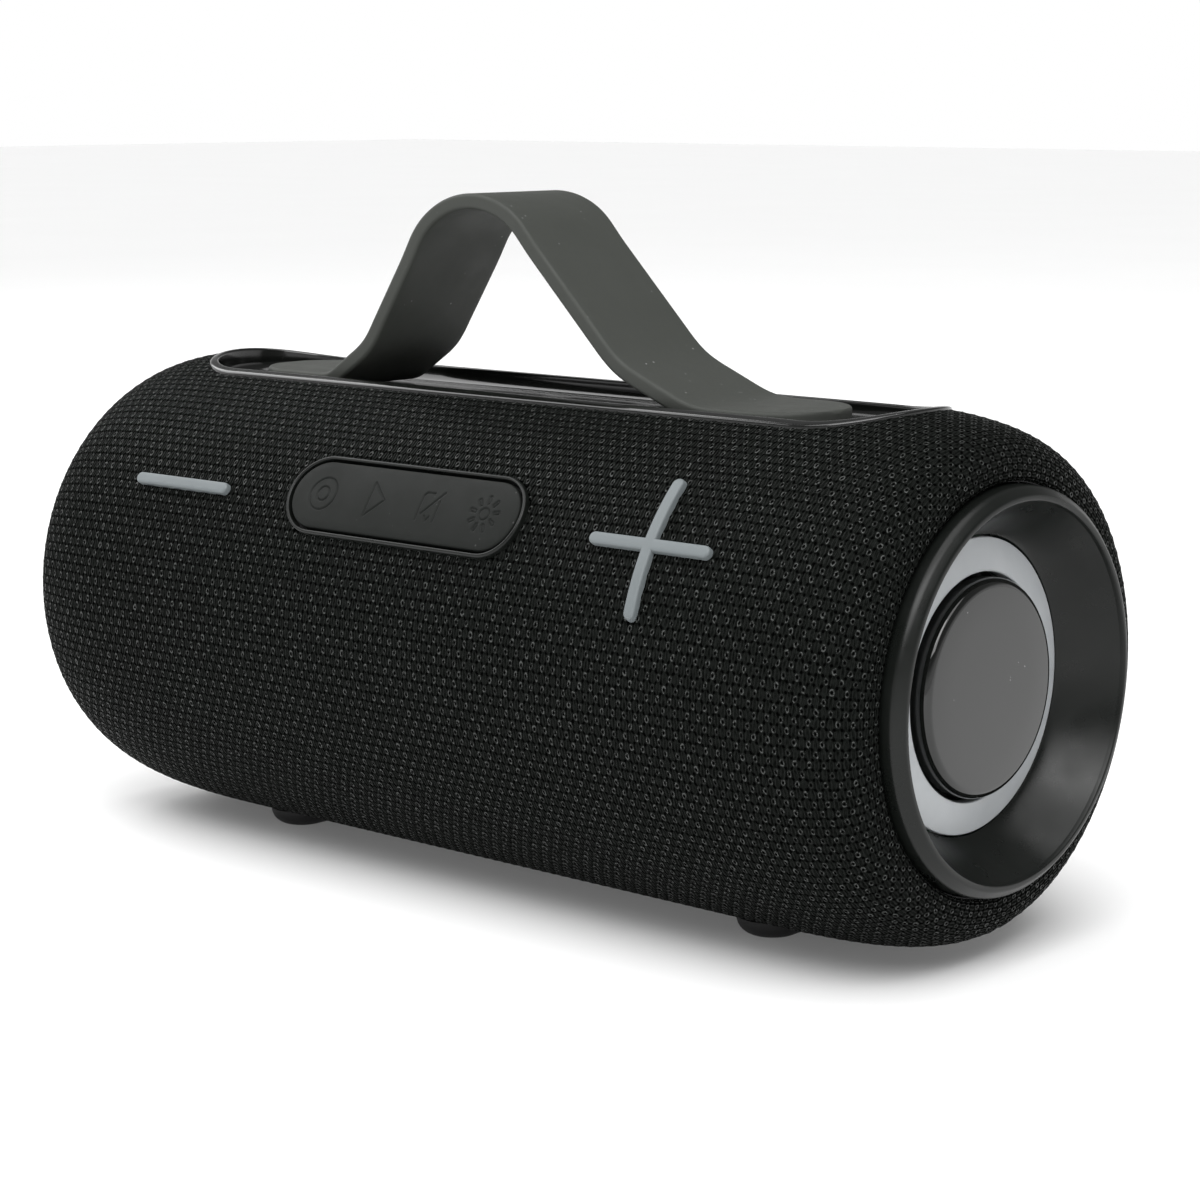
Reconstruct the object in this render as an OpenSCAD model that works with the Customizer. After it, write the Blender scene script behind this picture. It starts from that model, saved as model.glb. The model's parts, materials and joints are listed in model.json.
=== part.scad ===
// Cylindrical splash-proof speaker with a fabric sleeve, a pop-up carrying strap,
// passive radiators in both ends and a row of buttons along the front.
// X runs along the cylinder, the buttons face -Y, Z is up and the feet stand on z = 0.

/* [Body] */
// Radius of the fabric-covered cylinder
body_r = 48; // [47:0.5:50]
// Length of the fabric sleeve from end to end
sleeve_len = 210.1; // [208:0.1:216]
// Length of the rounded shoulder at each end
shoulder_len = 44.25; // [42:0.25:46]
// How far the shoulder drops towards the axis
shoulder_drop = 11.46; // [11:0.02:12]
// Squareness of the shoulder curve, 2 is an ellipse
shoulder_power = 3.29; // [3:0.01:3.6]
// Thickness of the knitted sleeve
sleeve_t = 1.3; // [1:0.1:1.4]
// Wall thickness of the two housing shells
wall_t = 2.2; // [2:0.1:2.4]

/* [End bezels] */
// Outer radius of the bezel ring
bezel_r = 35.7; // [35.4:0.1:35.8]
// Distance from the middle of the speaker to the front of the bezel lip
bezel_x = 108.4; // [107:0.1:109.5]
// Radius inside the lip, where the bowl starts
bowl_r = 32.9; // [32.5:0.1:33.2]
// Outer radius of the light ring
light_r = 26.3; // [26:0.1:26.3]
// Inner radius of the light ring
light_bore_r = 20.1; // [20:0.05:20.2]
// Radius of the radiator's front disc
disc_r = 19.3; // [18.5:0.1:19.5]
// Distance from the middle of the speaker to the radiator's front face
disc_x = 102.2; // [101.5:0.1:102.6]

/* [Strap and tray] */
// Width of the strap
strap_w = 25.6; // [24:0.2:27]
// Thickness of the strap
strap_t = 3; // [2.8:0.1:3.1]
// Half width of the tray over its rim
tray_r = 18; // [17.8:0.1:18.4]
// Half length of the tray over its rim
tray_half = 89; // [89:0.1:89.6]
// Height of the tray floor above the axis
tray_floor = 42.7; // [42.4:0.1:42.9]
// Upward turn at the two bends of the left foot of the arch
left_turns = [34, 23]; // [15:0.5:36]
// Upward turn at the two bends of the right foot of the arch
right_turns = [22.5, 22.5]; // [15:0.5:30]
// Left leg of the arch, between its foot and the crown
left_leg = 29.9; // [29:0.1:31]
// Length of each of the two links of the crown
crown_link = 11; // [10.5:0.1:11.5]

/* [Buttons] */
// Angle of the keypad from the top of the body
keypad_tilt = 56.3; // [54:0.1:58]
// Half height of the keypad bezel
keypad_r = 8.2; // [8:0.1:8.4]
// Half length of the keypad bezel
keypad_half = 29.85; // [29:0.05:31]
// Distance between neighbouring keys
key_pitch = 13.8; // [13.4:0.1:14]
// Radius of each key
key_r = 5.6; // [5:0.1:5.7]
// Angle of the plus and minus buttons from the top of the body
volume_tilt = 58.2; // [57:0.1:59]
// Distance of the plus and minus buttons from the middle
volume_x = 60; // [59:0.5:62]
// Half length of the plus and minus bars
bar_half = 13.3; // [12:0.1:13.6]
// Half height of the plus and minus bars
bar_r = 1.15; // [1.1:0.05:1.25]

/* [Drivers and battery] */
// Distance of each driver from the middle
driver_x = 44; // [43.5:0.5:45]
// Radius of the driver's mounting flange
driver_r = 20.5; // [20:0.1:20.6]
// Radius of a battery cell
cell_r = 9.2; // [9:0.05:9.25]
// Length of a battery cell
cell_len = 65; // [64:0.5:66]

/* [Feet and port] */
// Distance of each foot from the middle
foot_x = 62; // [60:0.5:63]
// Depth by which the feet stand below the sleeve
foot_proud = 1; // [0.8:0.1:1.4]
// Half width of a foot
foot_r = 6.5; // [6:0.1:7]
// Half height of the rear port recess
port_r = 7.5; // [7.4:0.05:7.6]
// Half length of the straight part of the rear port recess
port_straight = 15.6; // [15:0.1:16]

/* [Hidden] */
$fn = 96;

// Small gap between pieces that are seated on each other
seat_gap = 0.05;
// Height of the axis above the surface that the feet stand on
axis_z = body_r + foot_proud;
// Straight sides reach this far when a cut has to pass right through
reach = 70;
// Steps of the shoulder curve
shoulder_steps = 20;

// Layers of the body, as distances inside the sleeve's outer surface
shell_inset = sleeve_t + seat_gap;
inner_inset = shell_inset + wall_t;

// Half length of the straight part of a foot, which lies across the body
foot_straight = 9;

// Bezel and end parts, as distances from the middle
frame_back = 92;
frame_front = 95;
frame_r = 42;
frame_bore_r = 20.4;
bowl_floor = 98.1;
flange_r = 38.5;
end_hole_r = bezel_r + 0.3;
end_screw_r = 31.1;
surround_seat_r = 23.2;
surround_seat_depth = 0.8;
neck_r = 13.4;
disc_back = disc_x - 3.8;
rib_front = frame_back - 1;

// Tray and strap
rim_proud = 0.4;
rim_w = 2.4;
tray_straight = tray_half - tray_r;
tub_r = tray_r - 0.8;
tub_straight = tray_straight + 0.2;
pocket_r = tray_r - rim_w;
pocket_straight = tray_half - 1.5 - pocket_r;
tub_bottom = tray_floor - 1.8;
strap_r = strap_t / 2;
strap_lift = 0.05;
strap_z = tray_floor + strap_lift + strap_r;
crown_turn = -(left_turns[0] + left_turns[1] + right_turns[0] + right_turns[1]) / 3;
foot_link_left = 13.3;
foot_link_right = 19;
first_hinge_x = -48.4;
left_end_len = 25.3;
right_end_len = 23.8;
// Travel of the left end as the strap is pushed flat, and the furthest that the right end then moves
left_travel = 13.2;
right_travel = 17.9;
knuckle_gap = 0.1;
stud_r = 2;
stud_head_r = 4;
slot_gap = 0.3;
slot_spare = 0.2;
left_stud_x = -53;
right_stud_x = 47.5;

// Turn at each bend of the strap, from left to right, and the direction of each link after it
turns = concat(left_turns, [crown_turn, crown_turn, crown_turn], right_turns);
function heading(i) = i == 0 ? 0 : heading(i - 1) + turns[i - 1];
// The right leg closes the arch, so that both ends lie on the tray floor
rise_without_right_leg = foot_link_left * sin(heading(1)) + left_leg * sin(heading(2))
    + crown_link * (sin(heading(3)) + sin(heading(4))) + foot_link_right * sin(heading(6));
right_leg = -rise_without_right_leg / sin(heading(5));
links = [left_end_len, foot_link_left, left_leg, crown_link, crown_link, right_leg,
         foot_link_right, right_end_len];
function hinge(i) = i == 1 ? [first_hinge_x, strap_z]
    : hinge(i - 1) + links[i - 1] * [cos(heading(i - 1)), sin(heading(i - 1))];

// Buttons
keypad_lip = 1;
keypad_proud = 1;
pad_proud = 0.8;
pad_gap = 0.5;
key_gap = 0.12;
key_inset = 0.8;
key_stem_r = 1.5;
bar_proud = 1.2;
bar_inset = 0.6;
bar_gap = 0.3;
bar_stem_r = 1;
stem_gap = 0.3;
stem_foot = 43.6;
switch_top = 43;
switch_base = 40;
board_t = 1.1;
key_places = [-1.5 * key_pitch, -0.5 * key_pitch, 0.5 * key_pitch, 1.5 * key_pitch];

// Driver, as distances from the axis towards the front
driver_face = 36.5;
cone_r = 15.8;
coil_r = 7.5;
grille_r = 17;
slot_w = 2.4;
slot_pitch = 4.2;

// Screws and posts
screw_r = 1.2;
screw_head_r = 2.3;
screw_len = 10;
post_r = 3.5;
case_post_x = 72;
case_post_z = 34;

// Port, as distances from the axis towards the back
panel_back = 43;
panel_front = 44.6;
flap_gap = 0.3;
flap_back = 45;
flap_axis = [46.3, -5.9];
flap_bead_r = 1.3;
ear_r = 2.5;
board_back = 35;
board_front = 36.6;
usb_x = -9;
aux_x = 9;

// Radius and distance along the axis of the shoulder, for a surface inset by this much
function shoulder(inset, a) = [
    body_r - shoulder_drop + (shoulder_drop - inset) * pow(cos(a), 2 / shoulder_power),
    sleeve_len / 2 - shoulder_len + (shoulder_len - inset) * pow(sin(a), 2 / shoulder_power)
];

// Solid barrel with the body's outline, inset by this much
module barrel(inset) {
    half = [for (i = [0 : shoulder_steps]) shoulder(inset, 90 * i / shoulder_steps)];
    back = [for (i = [shoulder_steps : -1 : 0]) [half[i][0], -half[i][1]]];
    rotate([0, 90, 0]) rotate_extrude() polygon(concat([[0, -half[shoulder_steps][1]]], back, half,
                                                      [[0, half[shoulder_steps][1]]]));
}

module along_x(from, length, r) {
    translate([from, 0, 0]) rotate([0, 90, 0]) cylinder(r = r, h = length);
}

// Flat outline with round ends along X
module slot_outline(straight, r) {
    square([2 * straight, 2 * r], center = true);
    for (side = [-1, 1]) translate([side * straight, 0]) circle(r = r);
}

// Round-ended column standing on local z
module column(straight, r, from, to) {
    translate([0, 0, from]) linear_extrude(height = to - from) slot_outline(straight, r);
}

module place() {
    translate([0, 0, axis_z]) children();
}

// Turns local z to point out of the front at this angle from the top
module facing(tilt) {
    rotate([tilt, 0, 0]) children();
}

module each_end() {
    for (side = [0, 1]) mirror([side, 0, 0]) children();
}

module each_stem(gap) {
    for (x = key_places) facing(keypad_tilt) translate([x, 0, 0]) cylinder(r = key_stem_r + gap, h = reach);
    for (side = [-1, 1]) {
        facing(volume_tilt) translate([side * volume_x, 0, 0]) cylinder(r = bar_stem_r + gap, h = reach);
    }
}

// Bosses that the rear screws draw together
module case_posts(from, to) {
    for (side = [-1, 1], height = [-1, 1]) {
        translate([side * case_post_x, from, height * case_post_z]) rotate([-90, 0, 0])
            cylinder(r = post_r, h = to - from);
    }
}

module case_bores(r, from, to) {
    for (side = [-1, 1], height = [-1, 1]) {
        translate([side * case_post_x, from, height * case_post_z]) rotate([-90, 0, 0])
            cylinder(r = r, h = to - from);
    }
}

module screw() {
    cylinder(r = screw_r, h = screw_len);
    translate([0, 0, -1.6]) cylinder(r = screw_head_r, h = 1.6);
}

// Sleeve-shaped wall with everything that both housing halves share
module housing() {
    difference() {
        union() {
            difference() {
                barrel(shell_inset);
                barrel(inner_inset);
            }
            intersection() {
                barrel(shell_inset + 0.1);
                each_end() difference() {
                    along_x(rib_front - 2, 2, body_r);
                    along_x(rib_front - 3, 4, frame_r - 3.5);
                }
            }
        }
        along_x(-reach * 2, reach * 4, end_hole_r);
        column(tub_straight, tub_r + 0.1, tray_floor - 10, reach);
    }
}

module front_shell() {
    color("dimgray") place() difference() {
        union() {
            intersection() {
                housing();
                translate([-reach * 2, -reach * 2, -reach]) cube([reach * 4, reach * 2, reach * 2]);
            }
            intersection() {
                barrel(inner_inset - 0.1);
                union() {
                    case_posts(-reach / 2, 0);
                    each_end() driver_place() difference() {
                        translate([0, 0, driver_face + seat_gap]) cylinder(r = driver_r + 0.7, h = 12);
                        cylinder(r = grille_r + 0.5, h = reach);
                    }
                    facing(keypad_tilt) for (x = [-key_pitch, 0, key_pitch]) {
                        translate([x, 0, switch_base]) cylinder(r = 1.5, h = 8);
                    }
                    each_end() facing(volume_tilt) {
                        translate([volume_x + 7, 0, switch_base]) cylinder(r = 1.5, h = 8);
                    }
                }
            }
        }
        case_bores(screw_r + 0.05, -11, 1);
        each_stem(stem_gap);
        each_end() driver_place() linear_extrude(height = reach) driver_grille();
    }
}

// Slotted opening in front of a driver
module driver_grille() {
    intersection() {
        circle(r = grille_r);
        for (i = [-3.5 : 1 : 3.5]) translate([i * slot_pitch, 0]) square([slot_w, reach], center = true);
    }
}

module rear_shell() {
    color("dimgray") place() difference() {
        union() {
            intersection() {
                housing();
                translate([-reach * 2, 0, -reach]) cube([reach * 4, reach * 2, reach * 2]);
            }
            intersection() {
                barrel(inner_inset - 0.1);
                union() {
                    case_posts(0, reach / 2);
                    for (x = [-46, 46], z = [-8, 20]) {
                        translate([x, board_front + seat_gap, z])
                            rotate([-90, 0, 0]) cylinder(r = 2.5, h = 12);
                    }
                }
            }
        }
        case_bores(screw_r + 0.2, -1, 2);
        case_bores(screw_head_r + 0.4, 0.9, reach);
        rotate([-90, 0, 0]) column(port_straight, port_r, panel_back - 10, reach);
    }
}

module fabric_sleeve() {
    color([0.1, 0.1, 0.1]) place() difference() {
        barrel(0);
        barrel(sleeve_t);
        along_x(-reach * 2, reach * 4, end_hole_r);
        column(tray_straight, tray_r + 0.1, 30, reach);
        facing(keypad_tilt) column(keypad_half - keypad_r, keypad_r + 0.1, 30, reach);
        facing(volume_tilt) {
            translate([-volume_x, 0, 0]) column(bar_half - bar_r, bar_r + bar_gap, 30, reach);
            translate([volume_x, 0, 0]) plus_column(bar_gap, 30, reach);
        }
        rotate([-90, 0, 0]) column(port_straight, port_r + 0.4, 30, reach);
        for (side = [-1, 1]) {
            translate([side * foot_x, 0, -reach])
                rotate([0, 0, 90]) column(foot_straight, foot_r + 0.1, 0, 40);
        }
    }
}

module feet() {
    color([0.06, 0.06, 0.06]) place() difference() {
        for (side = [-1, 1]) hull() {
            for (end = [-1, 1]) translate([side * foot_x, end * foot_straight, -axis_z]) foot_dome();
        }
        barrel(sleeve_t);
    }
}

module foot_dome() {
    edge_r = 3.4;
    flat_r = foot_r - edge_r;
    edge = [for (a = [0 : 15 : 90]) [flat_r + edge_r * sin(a), edge_r * (1 - cos(a))]];
    rotate_extrude($fn = 32) polygon(concat([[0, 0]], edge, [[foot_r, 6.5], [0, 6.5]]));
}

module strap_tray() {
    color([0.03, 0.03, 0.03]) place() difference() {
        intersection() {
            barrel(-rim_proud);
            union() {
                column(tub_straight, tub_r, tub_bottom, reach);
                difference() {
                    column(tray_straight, tray_r, 20, reach);
                    barrel(sleeve_t);
                }
            }
        }
        column(pocket_straight, pocket_r, tray_floor, reach);
        tray_slot(left_stud_x - left_travel, left_stud_x);
        tray_slot(right_stud_x, right_stud_x + right_travel);
    }
}

// Slot in the tray floor for a strap stud that runs between these two places
module tray_slot(from, to) {
    translate([(from + to) / 2, 0, 0])
        column((to - from) / 2 + slot_spare, stud_r + slot_gap, tub_bottom - 5, reach);
}

module case_screws() {
    color("silver") place() {
        for (side = [-1, 1], height = [-1, 1]) {
            translate([side * case_post_x, 0.9, height * case_post_z]) rotate([90, 0, 0]) screw();
        }
        each_end() end_screw_ring() translate([0, 0, frame_back]) screw();
    }
}

// Four places round the end, with local z pointing out of it
module end_screw_ring() {
    for (a = [45 : 90 : 315]) rotate([a, 0, 0]) translate([0, 0, end_screw_r]) rotate([0, 90, 0]) children();
}

module end_gaskets() {
    color([0.05, 0.05, 0.05]) place() each_end() difference() {
        along_x(rib_front + 0.02, 0.96, frame_r - 0.4);
        along_x(rib_front - 1, 3, frame_r - 3);
    }
}

module end_frame() {
    color([0.15, 0.15, 0.15]) place() difference() {
        along_x(frame_back, frame_front - frame_back, frame_r);
        along_x(frame_back - 1, 5, frame_bore_r);
        along_x(frame_back - 1, surround_seat_depth + 1, surround_seat_r);
        end_screw_ring() translate([0, 0, frame_back - 1]) cylinder(r = screw_r + 0.2, h = 5);
    }
}

module bezel() {
    rise = bezel_x - 0.8 - bowl_floor;
    bore = light_r + 0.15;
    // The bowl flares from the light ring to the lip with a slight hollow
    bowl = [for (i = [0 : 8]) [bore + (bowl_r - bore) * i / 8, bowl_floor + rise * pow(i / 8, 1.25)]];
    back = frame_front + 0.02;
    lip = [[bowl_r + 0.3, bezel_x - 0.2], [bowl_r + 0.8, bezel_x], [bezel_r - 0.5, bezel_x],
           [bezel_r, bezel_x - 0.5], [bezel_r, back + 2], [flange_r, back + 2], [flange_r, back]];
    wall = 2.2;
    hollow = [[bore + wall, back - 1], [bore + wall, bowl_floor], [end_screw_r + 0.4, bowl_floor + 4.4],
              [bezel_r - wall, bowl_floor + 6.9], [bezel_r - wall, back - 1]];
    color([0.2, 0.2, 0.2]) place() difference() {
        rotate([0, 90, 0]) rotate_extrude() polygon(concat([[bore, back]], bowl, lip));
        difference() {
            rotate([0, 90, 0]) rotate_extrude() polygon(hollow);
            end_screw_ring() translate([0, 0, back - 2]) cylinder(r = 2.3, h = 15);
        }
        end_screw_ring() translate([0, 0, back - 2]) cylinder(r = screw_r + 0.05, h = 9.5);
    }
}

module light_ring() {
    back = 97;
    color([0.75, 0.77, 0.78]) place() rotate([0, 90, 0]) rotate_extrude()
        polygon([[light_bore_r, back], [light_bore_r, 99.3], [light_bore_r + 0.3, 99.5],
                 [light_r - 0.2, bowl_floor], [light_r, bowl_floor - 0.2], [light_r, back]]);
}

module led_board() {
    led = 1.6;
    board_front_x = frame_front + 1;
    color("darkgreen") place() {
        difference() {
            along_x(frame_front + seat_gap, 1 - seat_gap, light_r - 0.3);
            along_x(frame_front - 1, 4, light_bore_r + 0.5);
        }
        for (a = [0 : 30 : 330]) rotate([a, 0, 0]) {
            translate([board_front_x, -led / 2, 22.5]) cube([0.6, led, led]);
        }
    }
}

// Rubber half roll between two bonding flanges, as a closed outline turned about its axis
module half_roll(inner, outer, mid, r, height, t) {
    roll = [for (a = [0 : 15 : 180]) [mid - (r + t / 2) * cos(a), height - (r + t / 2) * sin(a)]];
    roll_back = [for (a = [180 : -15 : 0]) [mid - (r - t / 2) * cos(a), height - (r - t / 2) * sin(a)]];
    flange_in = [[inner, height + t], [inner, height]];
    flange_out = [[outer, height], [outer, height + t]];
    lid_out = [[mid + r - t / 2, height + t]];
    lid_in = [[mid - r + t / 2, height + t]];
    rotate_extrude() polygon(concat(flange_in, roll, flange_out, lid_out, roll_back, lid_in));
}

module radiator_surround() {
    color([0.05, 0.05, 0.05]) place() rotate([0, 90, 0])
        half_roll(neck_r + seat_gap, surround_seat_r - 0.1, (neck_r + frame_bore_r) / 2 + 0.3, 2.4,
                  frame_back + 0.1, 0.6);
}

module radiator() {
    edge_r = 2.2;
    edge = [for (a = [0 : 15 : 90]) [disc_r - edge_r * (1 - cos(a)), disc_x - edge_r * (1 - sin(a))]];
    color([0.02, 0.02, 0.02]) place() rotate([0, 90, 0]) rotate_extrude()
        polygon(concat([[0, frame_back - 1.8], [neck_r, frame_back - 1.8], [neck_r, disc_back],
                        [disc_r, disc_back]], edge, [[0, disc_x + 0.1]]));
}

// Puts local z on a driver's axis, pointing to the front
module driver_place() {
    translate([driver_x, 0, 0]) rotate([90, 0, 0]) children();
}

module driver_basket() {
    color("gray") place() driver_place() rotate_extrude()
        polygon([[8.6, 22.05], [14, 22.05], [driver_r - 1.5, driver_face - 3], [driver_r, driver_face - 2.5],
                 [driver_r, driver_face], [18.6, driver_face], [18.6, driver_face - 1.65],
                 [18, driver_face - 2.8], [13.2, 23.3], [8.6, 23.3]]);
}

module driver_magnet() {
    gap_in = coil_r - 0.9;
    gap_out = coil_r + 0.4;
    color("silver") place() driver_place() rotate_extrude()
        polygon([[0, 12], [14, 12], [14, 22], [gap_out, 22], [gap_out, 14], [gap_in, 14], [gap_in, 22],
                 [0, 22]]);
}

module voice_coil() {
    color("peru") place() driver_place() difference() {
        translate([0, 0, 18]) cylinder(r = coil_r, h = 11);
        cylinder(r = coil_r - 0.4, h = reach);
    }
}

module cone() {
    t = 0.6;
    color([0.1, 0.1, 0.1]) place() driver_place() rotate_extrude()
        polygon([[coil_r, 29.05], [cone_r, driver_face - 1.8], [cone_r, driver_face - 1.8 + t],
                 [coil_r, 29.05 + t], [coil_r - 0.4, 29.05 + t], [coil_r - 0.4, 29.05]]);
}

module dust_cap() {
    cap_r = coil_r - 0.5;
    dome = [for (a = [0 : 15 : 90]) [cap_r * cos(a), 30 + 2.4 * sin(a)]];
    color([0.15, 0.15, 0.15]) place() driver_place() rotate_extrude()
        polygon(concat([[0, 29.3], [cap_r, 29.3]], dome));
}

module cone_surround() {
    mid = (cone_r + 18.5) / 2;
    color([0.05, 0.05, 0.05]) place() driver_place() mirror([0, 0, 1])
        half_roll(cone_r + seat_gap, 18.55, mid, 0.9, -(driver_face - 1.2), 0.4);
}

module keypad_bezel() {
    straight = keypad_half - keypad_r;
    color([0.12, 0.12, 0.12]) place() intersection() {
        facing(keypad_tilt) difference() {
            column(straight, keypad_r, 30, reach);
            column(straight, keypad_r - keypad_lip, 29, reach + 1);
        }
        difference() {
            barrel(-keypad_proud);
            barrel(sleeve_t);
        }
    }
}

module keypad_pad() {
    straight = keypad_half - keypad_r;
    color([0.2, 0.2, 0.2]) place() intersection() {
        facing(keypad_tilt) difference() {
            column(straight, keypad_r - keypad_lip - pad_gap, 30, reach);
            for (x = key_places) translate([x, 0, 0]) cylinder(r = key_r + key_gap, h = reach + 1);
        }
        difference() {
            barrel(-pad_proud);
            barrel(sleeve_t);
        }
    }
}

// One round key and the stem that presses its switch
module key(i) {
    color([0.2, 0.2, 0.2]) place() {
        intersection() {
            facing(keypad_tilt) translate([key_places[i], 0, 30]) cylinder(r = key_r, h = reach);
            difference() {
                barrel(-pad_proud);
                barrel(key_inset);
            }
        }
        intersection() {
            facing(keypad_tilt) translate([key_places[i], 0, stem_foot]) cylinder(r = key_stem_r, h = 10);
            barrel(key_inset);
        }
    }
}

// Plus-shaped column on local z
module plus_column(gap, from, to) {
    for (turn = [0, 90]) rotate([0, 0, turn]) column(bar_half - bar_r, bar_r + gap, from, to);
}

module minus_button() {
    volume_button(-1) column(bar_half - bar_r, bar_r, 30, reach);
}

module plus_button() {
    volume_button(1) plus_column(0, 30, reach);
}

// Raised bar or cross over the stem that presses its switch
module volume_button(side) {
    color([0.5, 0.53, 0.54]) place() {
        intersection() {
            facing(volume_tilt) translate([side * volume_x, 0, 0]) children();
            difference() {
                barrel(-bar_proud);
                barrel(bar_inset);
            }
        }
        intersection() {
            facing(volume_tilt) translate([side * volume_x, 0, stem_foot]) cylinder(r = bar_stem_r, h = 10);
            barrel(bar_inset);
        }
    }
}

module button_boards() {
    color("darkgreen") place() {
        facing(keypad_tilt) translate([-26, -7, switch_base - board_t]) cube([52, 14, board_t]);
        each_end() facing(volume_tilt) {
            translate([volume_x - 3.5, -3.5, switch_base - board_t]) cube([14, 7, board_t]);
        }
    }
}

module button_switches() {
    color("lightgray") place() {
        for (x = key_places) facing(keypad_tilt) translate([x, 0, switch_base]) button_switch();
        each_end() facing(volume_tilt) translate([volume_x, 0, switch_base]) button_switch();
    }
}

module button_switch() {
    size = 4.5;
    translate([-size / 2, -size / 2, 0]) cube([size, size, 2]);
    cylinder(r = 1, h = switch_top - switch_base);
}

module main_board() {
    color("darkgreen") place() translate([-50, board_back, -12]) cube([100, board_front - board_back, 36]);
}

module battery_cells() {
    color("steelblue") place() for (y = [3, 23]) {
        translate([0, y, -25]) along_x(-cell_len / 2, cell_len, cell_r);
    }
}

module battery_holder() {
    length = cell_len + 5;
    color([0.15, 0.15, 0.15]) place() intersection() {
        barrel(inner_inset + seat_gap);
        difference() {
            translate([-length / 2, -8, -body_r]) cube([length, 42, body_r - 26]);
            for (y = [3, 23]) {
                translate([0, y, -25]) along_x(-cell_len / 2 - 0.2, cell_len + 0.4, cell_r + 0.1);
            }
        }
    }
}

module usb_socket() {
    color("silver") place() translate([usb_x, 0, 0]) rotate([-90, 0, 0]) difference() {
        column(2.9, 1.7, board_front + seat_gap, panel_front - 0.1);
        column(2.9, 1.35, board_front + 1.5, reach);
    }
}

module aux_socket() {
    color([0.1, 0.1, 0.1]) place() translate([aux_x, 0, 0]) rotate([-90, 0, 0]) difference() {
        column(0.01, 3, board_front + seat_gap, panel_front - 0.1);
        cylinder(r = 1.78, h = reach);
        cylinder(r = 4, h = board_front);
    }
}

module port_panel() {
    color([0.12, 0.12, 0.12]) place() {
        rotate([-90, 0, 0]) difference() {
            column(port_straight, port_r - 0.1, panel_back, panel_front);
            translate([usb_x, 0, 0]) column(2.9, 1.8, panel_back - 1, reach);
            translate([aux_x, 0, 0]) cylinder(r = 3.1, h = reach);
        }
        intersection() {
            rotate([-90, 0, 0]) column(port_straight, port_r - 0.1, panel_back, reach);
            barrel(0.1);
            each_end() hinge_line(port_straight + flap_gap, port_r, ear_r);
        }
    }
}

// Round rod of this length and radius on the port flap's hinge line
module hinge_line(from, length, r) {
    translate([from, flap_axis[0], flap_axis[1]]) along_x(0, length, r);
}

// Rubber cover that opens about the bead along its lower edge
module port_flap() {
    color([0.08, 0.08, 0.08]) place() {
        intersection() {
            barrel(0);
            rotate([-90, 0, 0]) column(port_straight, port_r - flap_gap, flap_back, reach);
            difference() {
                translate([-reach, 0, flap_axis[1]]) cube([reach * 2, reach, reach]);
                each_end() hinge_line(port_straight, port_r, ear_r + flap_gap);
            }
        }
        hinge_line(-port_straight, 2 * port_straight, flap_bead_r);
    }
}

// Puts local x along a link of the strap, with the link's first hinge at the origin
module on_link(i) {
    translate([hinge(i)[0], 0, hinge(i)[1]]) rotate([0, -heading(i), 0]) children();
}

module cross_pin(r) {
    rotate([90, 0, 0]) cylinder(r = r, h = strap_w + 2, center = true);
}

module strap_knuckle() {
    rotate([90, 0, 0]) cylinder(r = strap_r, h = strap_w, center = true);
}

module strap_slab(length) {
    translate([0, -strap_w / 2, -strap_r]) cube([length, strap_w, strap_t]);
}

module strap_link(i) {
    color([0.33, 0.34, 0.33]) place() on_link(i) {
        difference() {
            union() {
                strap_slab(links[i]);
                strap_knuckle();
            }
            translate([links[i], 0, 0]) cross_pin(strap_r + knuckle_gap);
        }
    }
}

// Half disc that rounds off an end of the strap
module strap_tip() {
    difference() {
        translate([0, 0, -strap_r]) cylinder(r = strap_w / 2, h = strap_t);
        translate([-strap_w, -strap_w, -strap_t]) cube([strap_w, 2 * strap_w, 2 * strap_t]);
    }
}

module strap_end_left() {
    flat = left_end_len - strap_w / 2;
    color([0.33, 0.34, 0.33]) place() translate([first_hinge_x, 0, strap_z]) difference() {
        union() {
            translate([-flat, 0, 0]) strap_slab(flat);
            translate([-flat, 0, 0]) mirror([1, 0, 0]) strap_tip();
        }
        cross_pin(strap_r + knuckle_gap);
    }
}

module strap_end_right() {
    flat = right_end_len - strap_w / 2;
    color([0.33, 0.34, 0.33]) place() on_link(7) {
        strap_slab(flat);
        strap_knuckle();
        translate([flat, 0, 0]) strap_tip();
    }
}

// Metal stud under a strap end, with a head that keeps it in the tray slot
module strap_stud(x) {
    head_top = tub_bottom - 0.9;
    color("silver") place() translate([x, 0, 0]) {
        translate([0, 0, head_top - 1.3]) cylinder(r = stud_head_r, h = 1.3);
        translate([0, 0, head_top - 0.5]) cylinder(r = stud_r, h = strap_z - strap_r - head_top + 0.5);
    }
}

module at_left() {
    mirror([1, 0, 0]) children();
}

front_shell();
rear_shell();
fabric_sleeve();
strap_tray();
case_screws();
feet();
end_gaskets();
at_left() end_frame();  // left_end_frame
end_frame();  // right_end_frame
at_left() bezel();  // left_bezel
bezel();  // right_bezel
at_left() light_ring();  // left_light_ring
light_ring();  // right_light_ring
at_left() led_board();  // left_led_board
led_board();  // right_led_board
at_left() radiator_surround();  // left_radiator_surround
radiator_surround();  // right_radiator_surround
at_left() radiator();  // left_radiator
radiator();  // right_radiator
at_left() driver_basket();  // left_driver_basket
driver_basket();  // right_driver_basket
at_left() driver_magnet();  // left_driver_magnet
driver_magnet();  // right_driver_magnet
at_left() cone_surround();  // left_cone_surround
cone_surround();  // right_cone_surround
at_left() cone();  // left_cone
cone();  // right_cone
at_left() voice_coil();  // left_voice_coil
voice_coil();  // right_voice_coil
at_left() dust_cap();  // left_dust_cap
dust_cap();  // right_dust_cap
keypad_bezel();
keypad_pad();
key(0);  // power_key
key(1);  // play_key
key(2);  // pairing_key
key(3);  // light_key
minus_button();
plus_button();
button_boards();
button_switches();
main_board();
battery_cells();
battery_holder();
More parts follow.
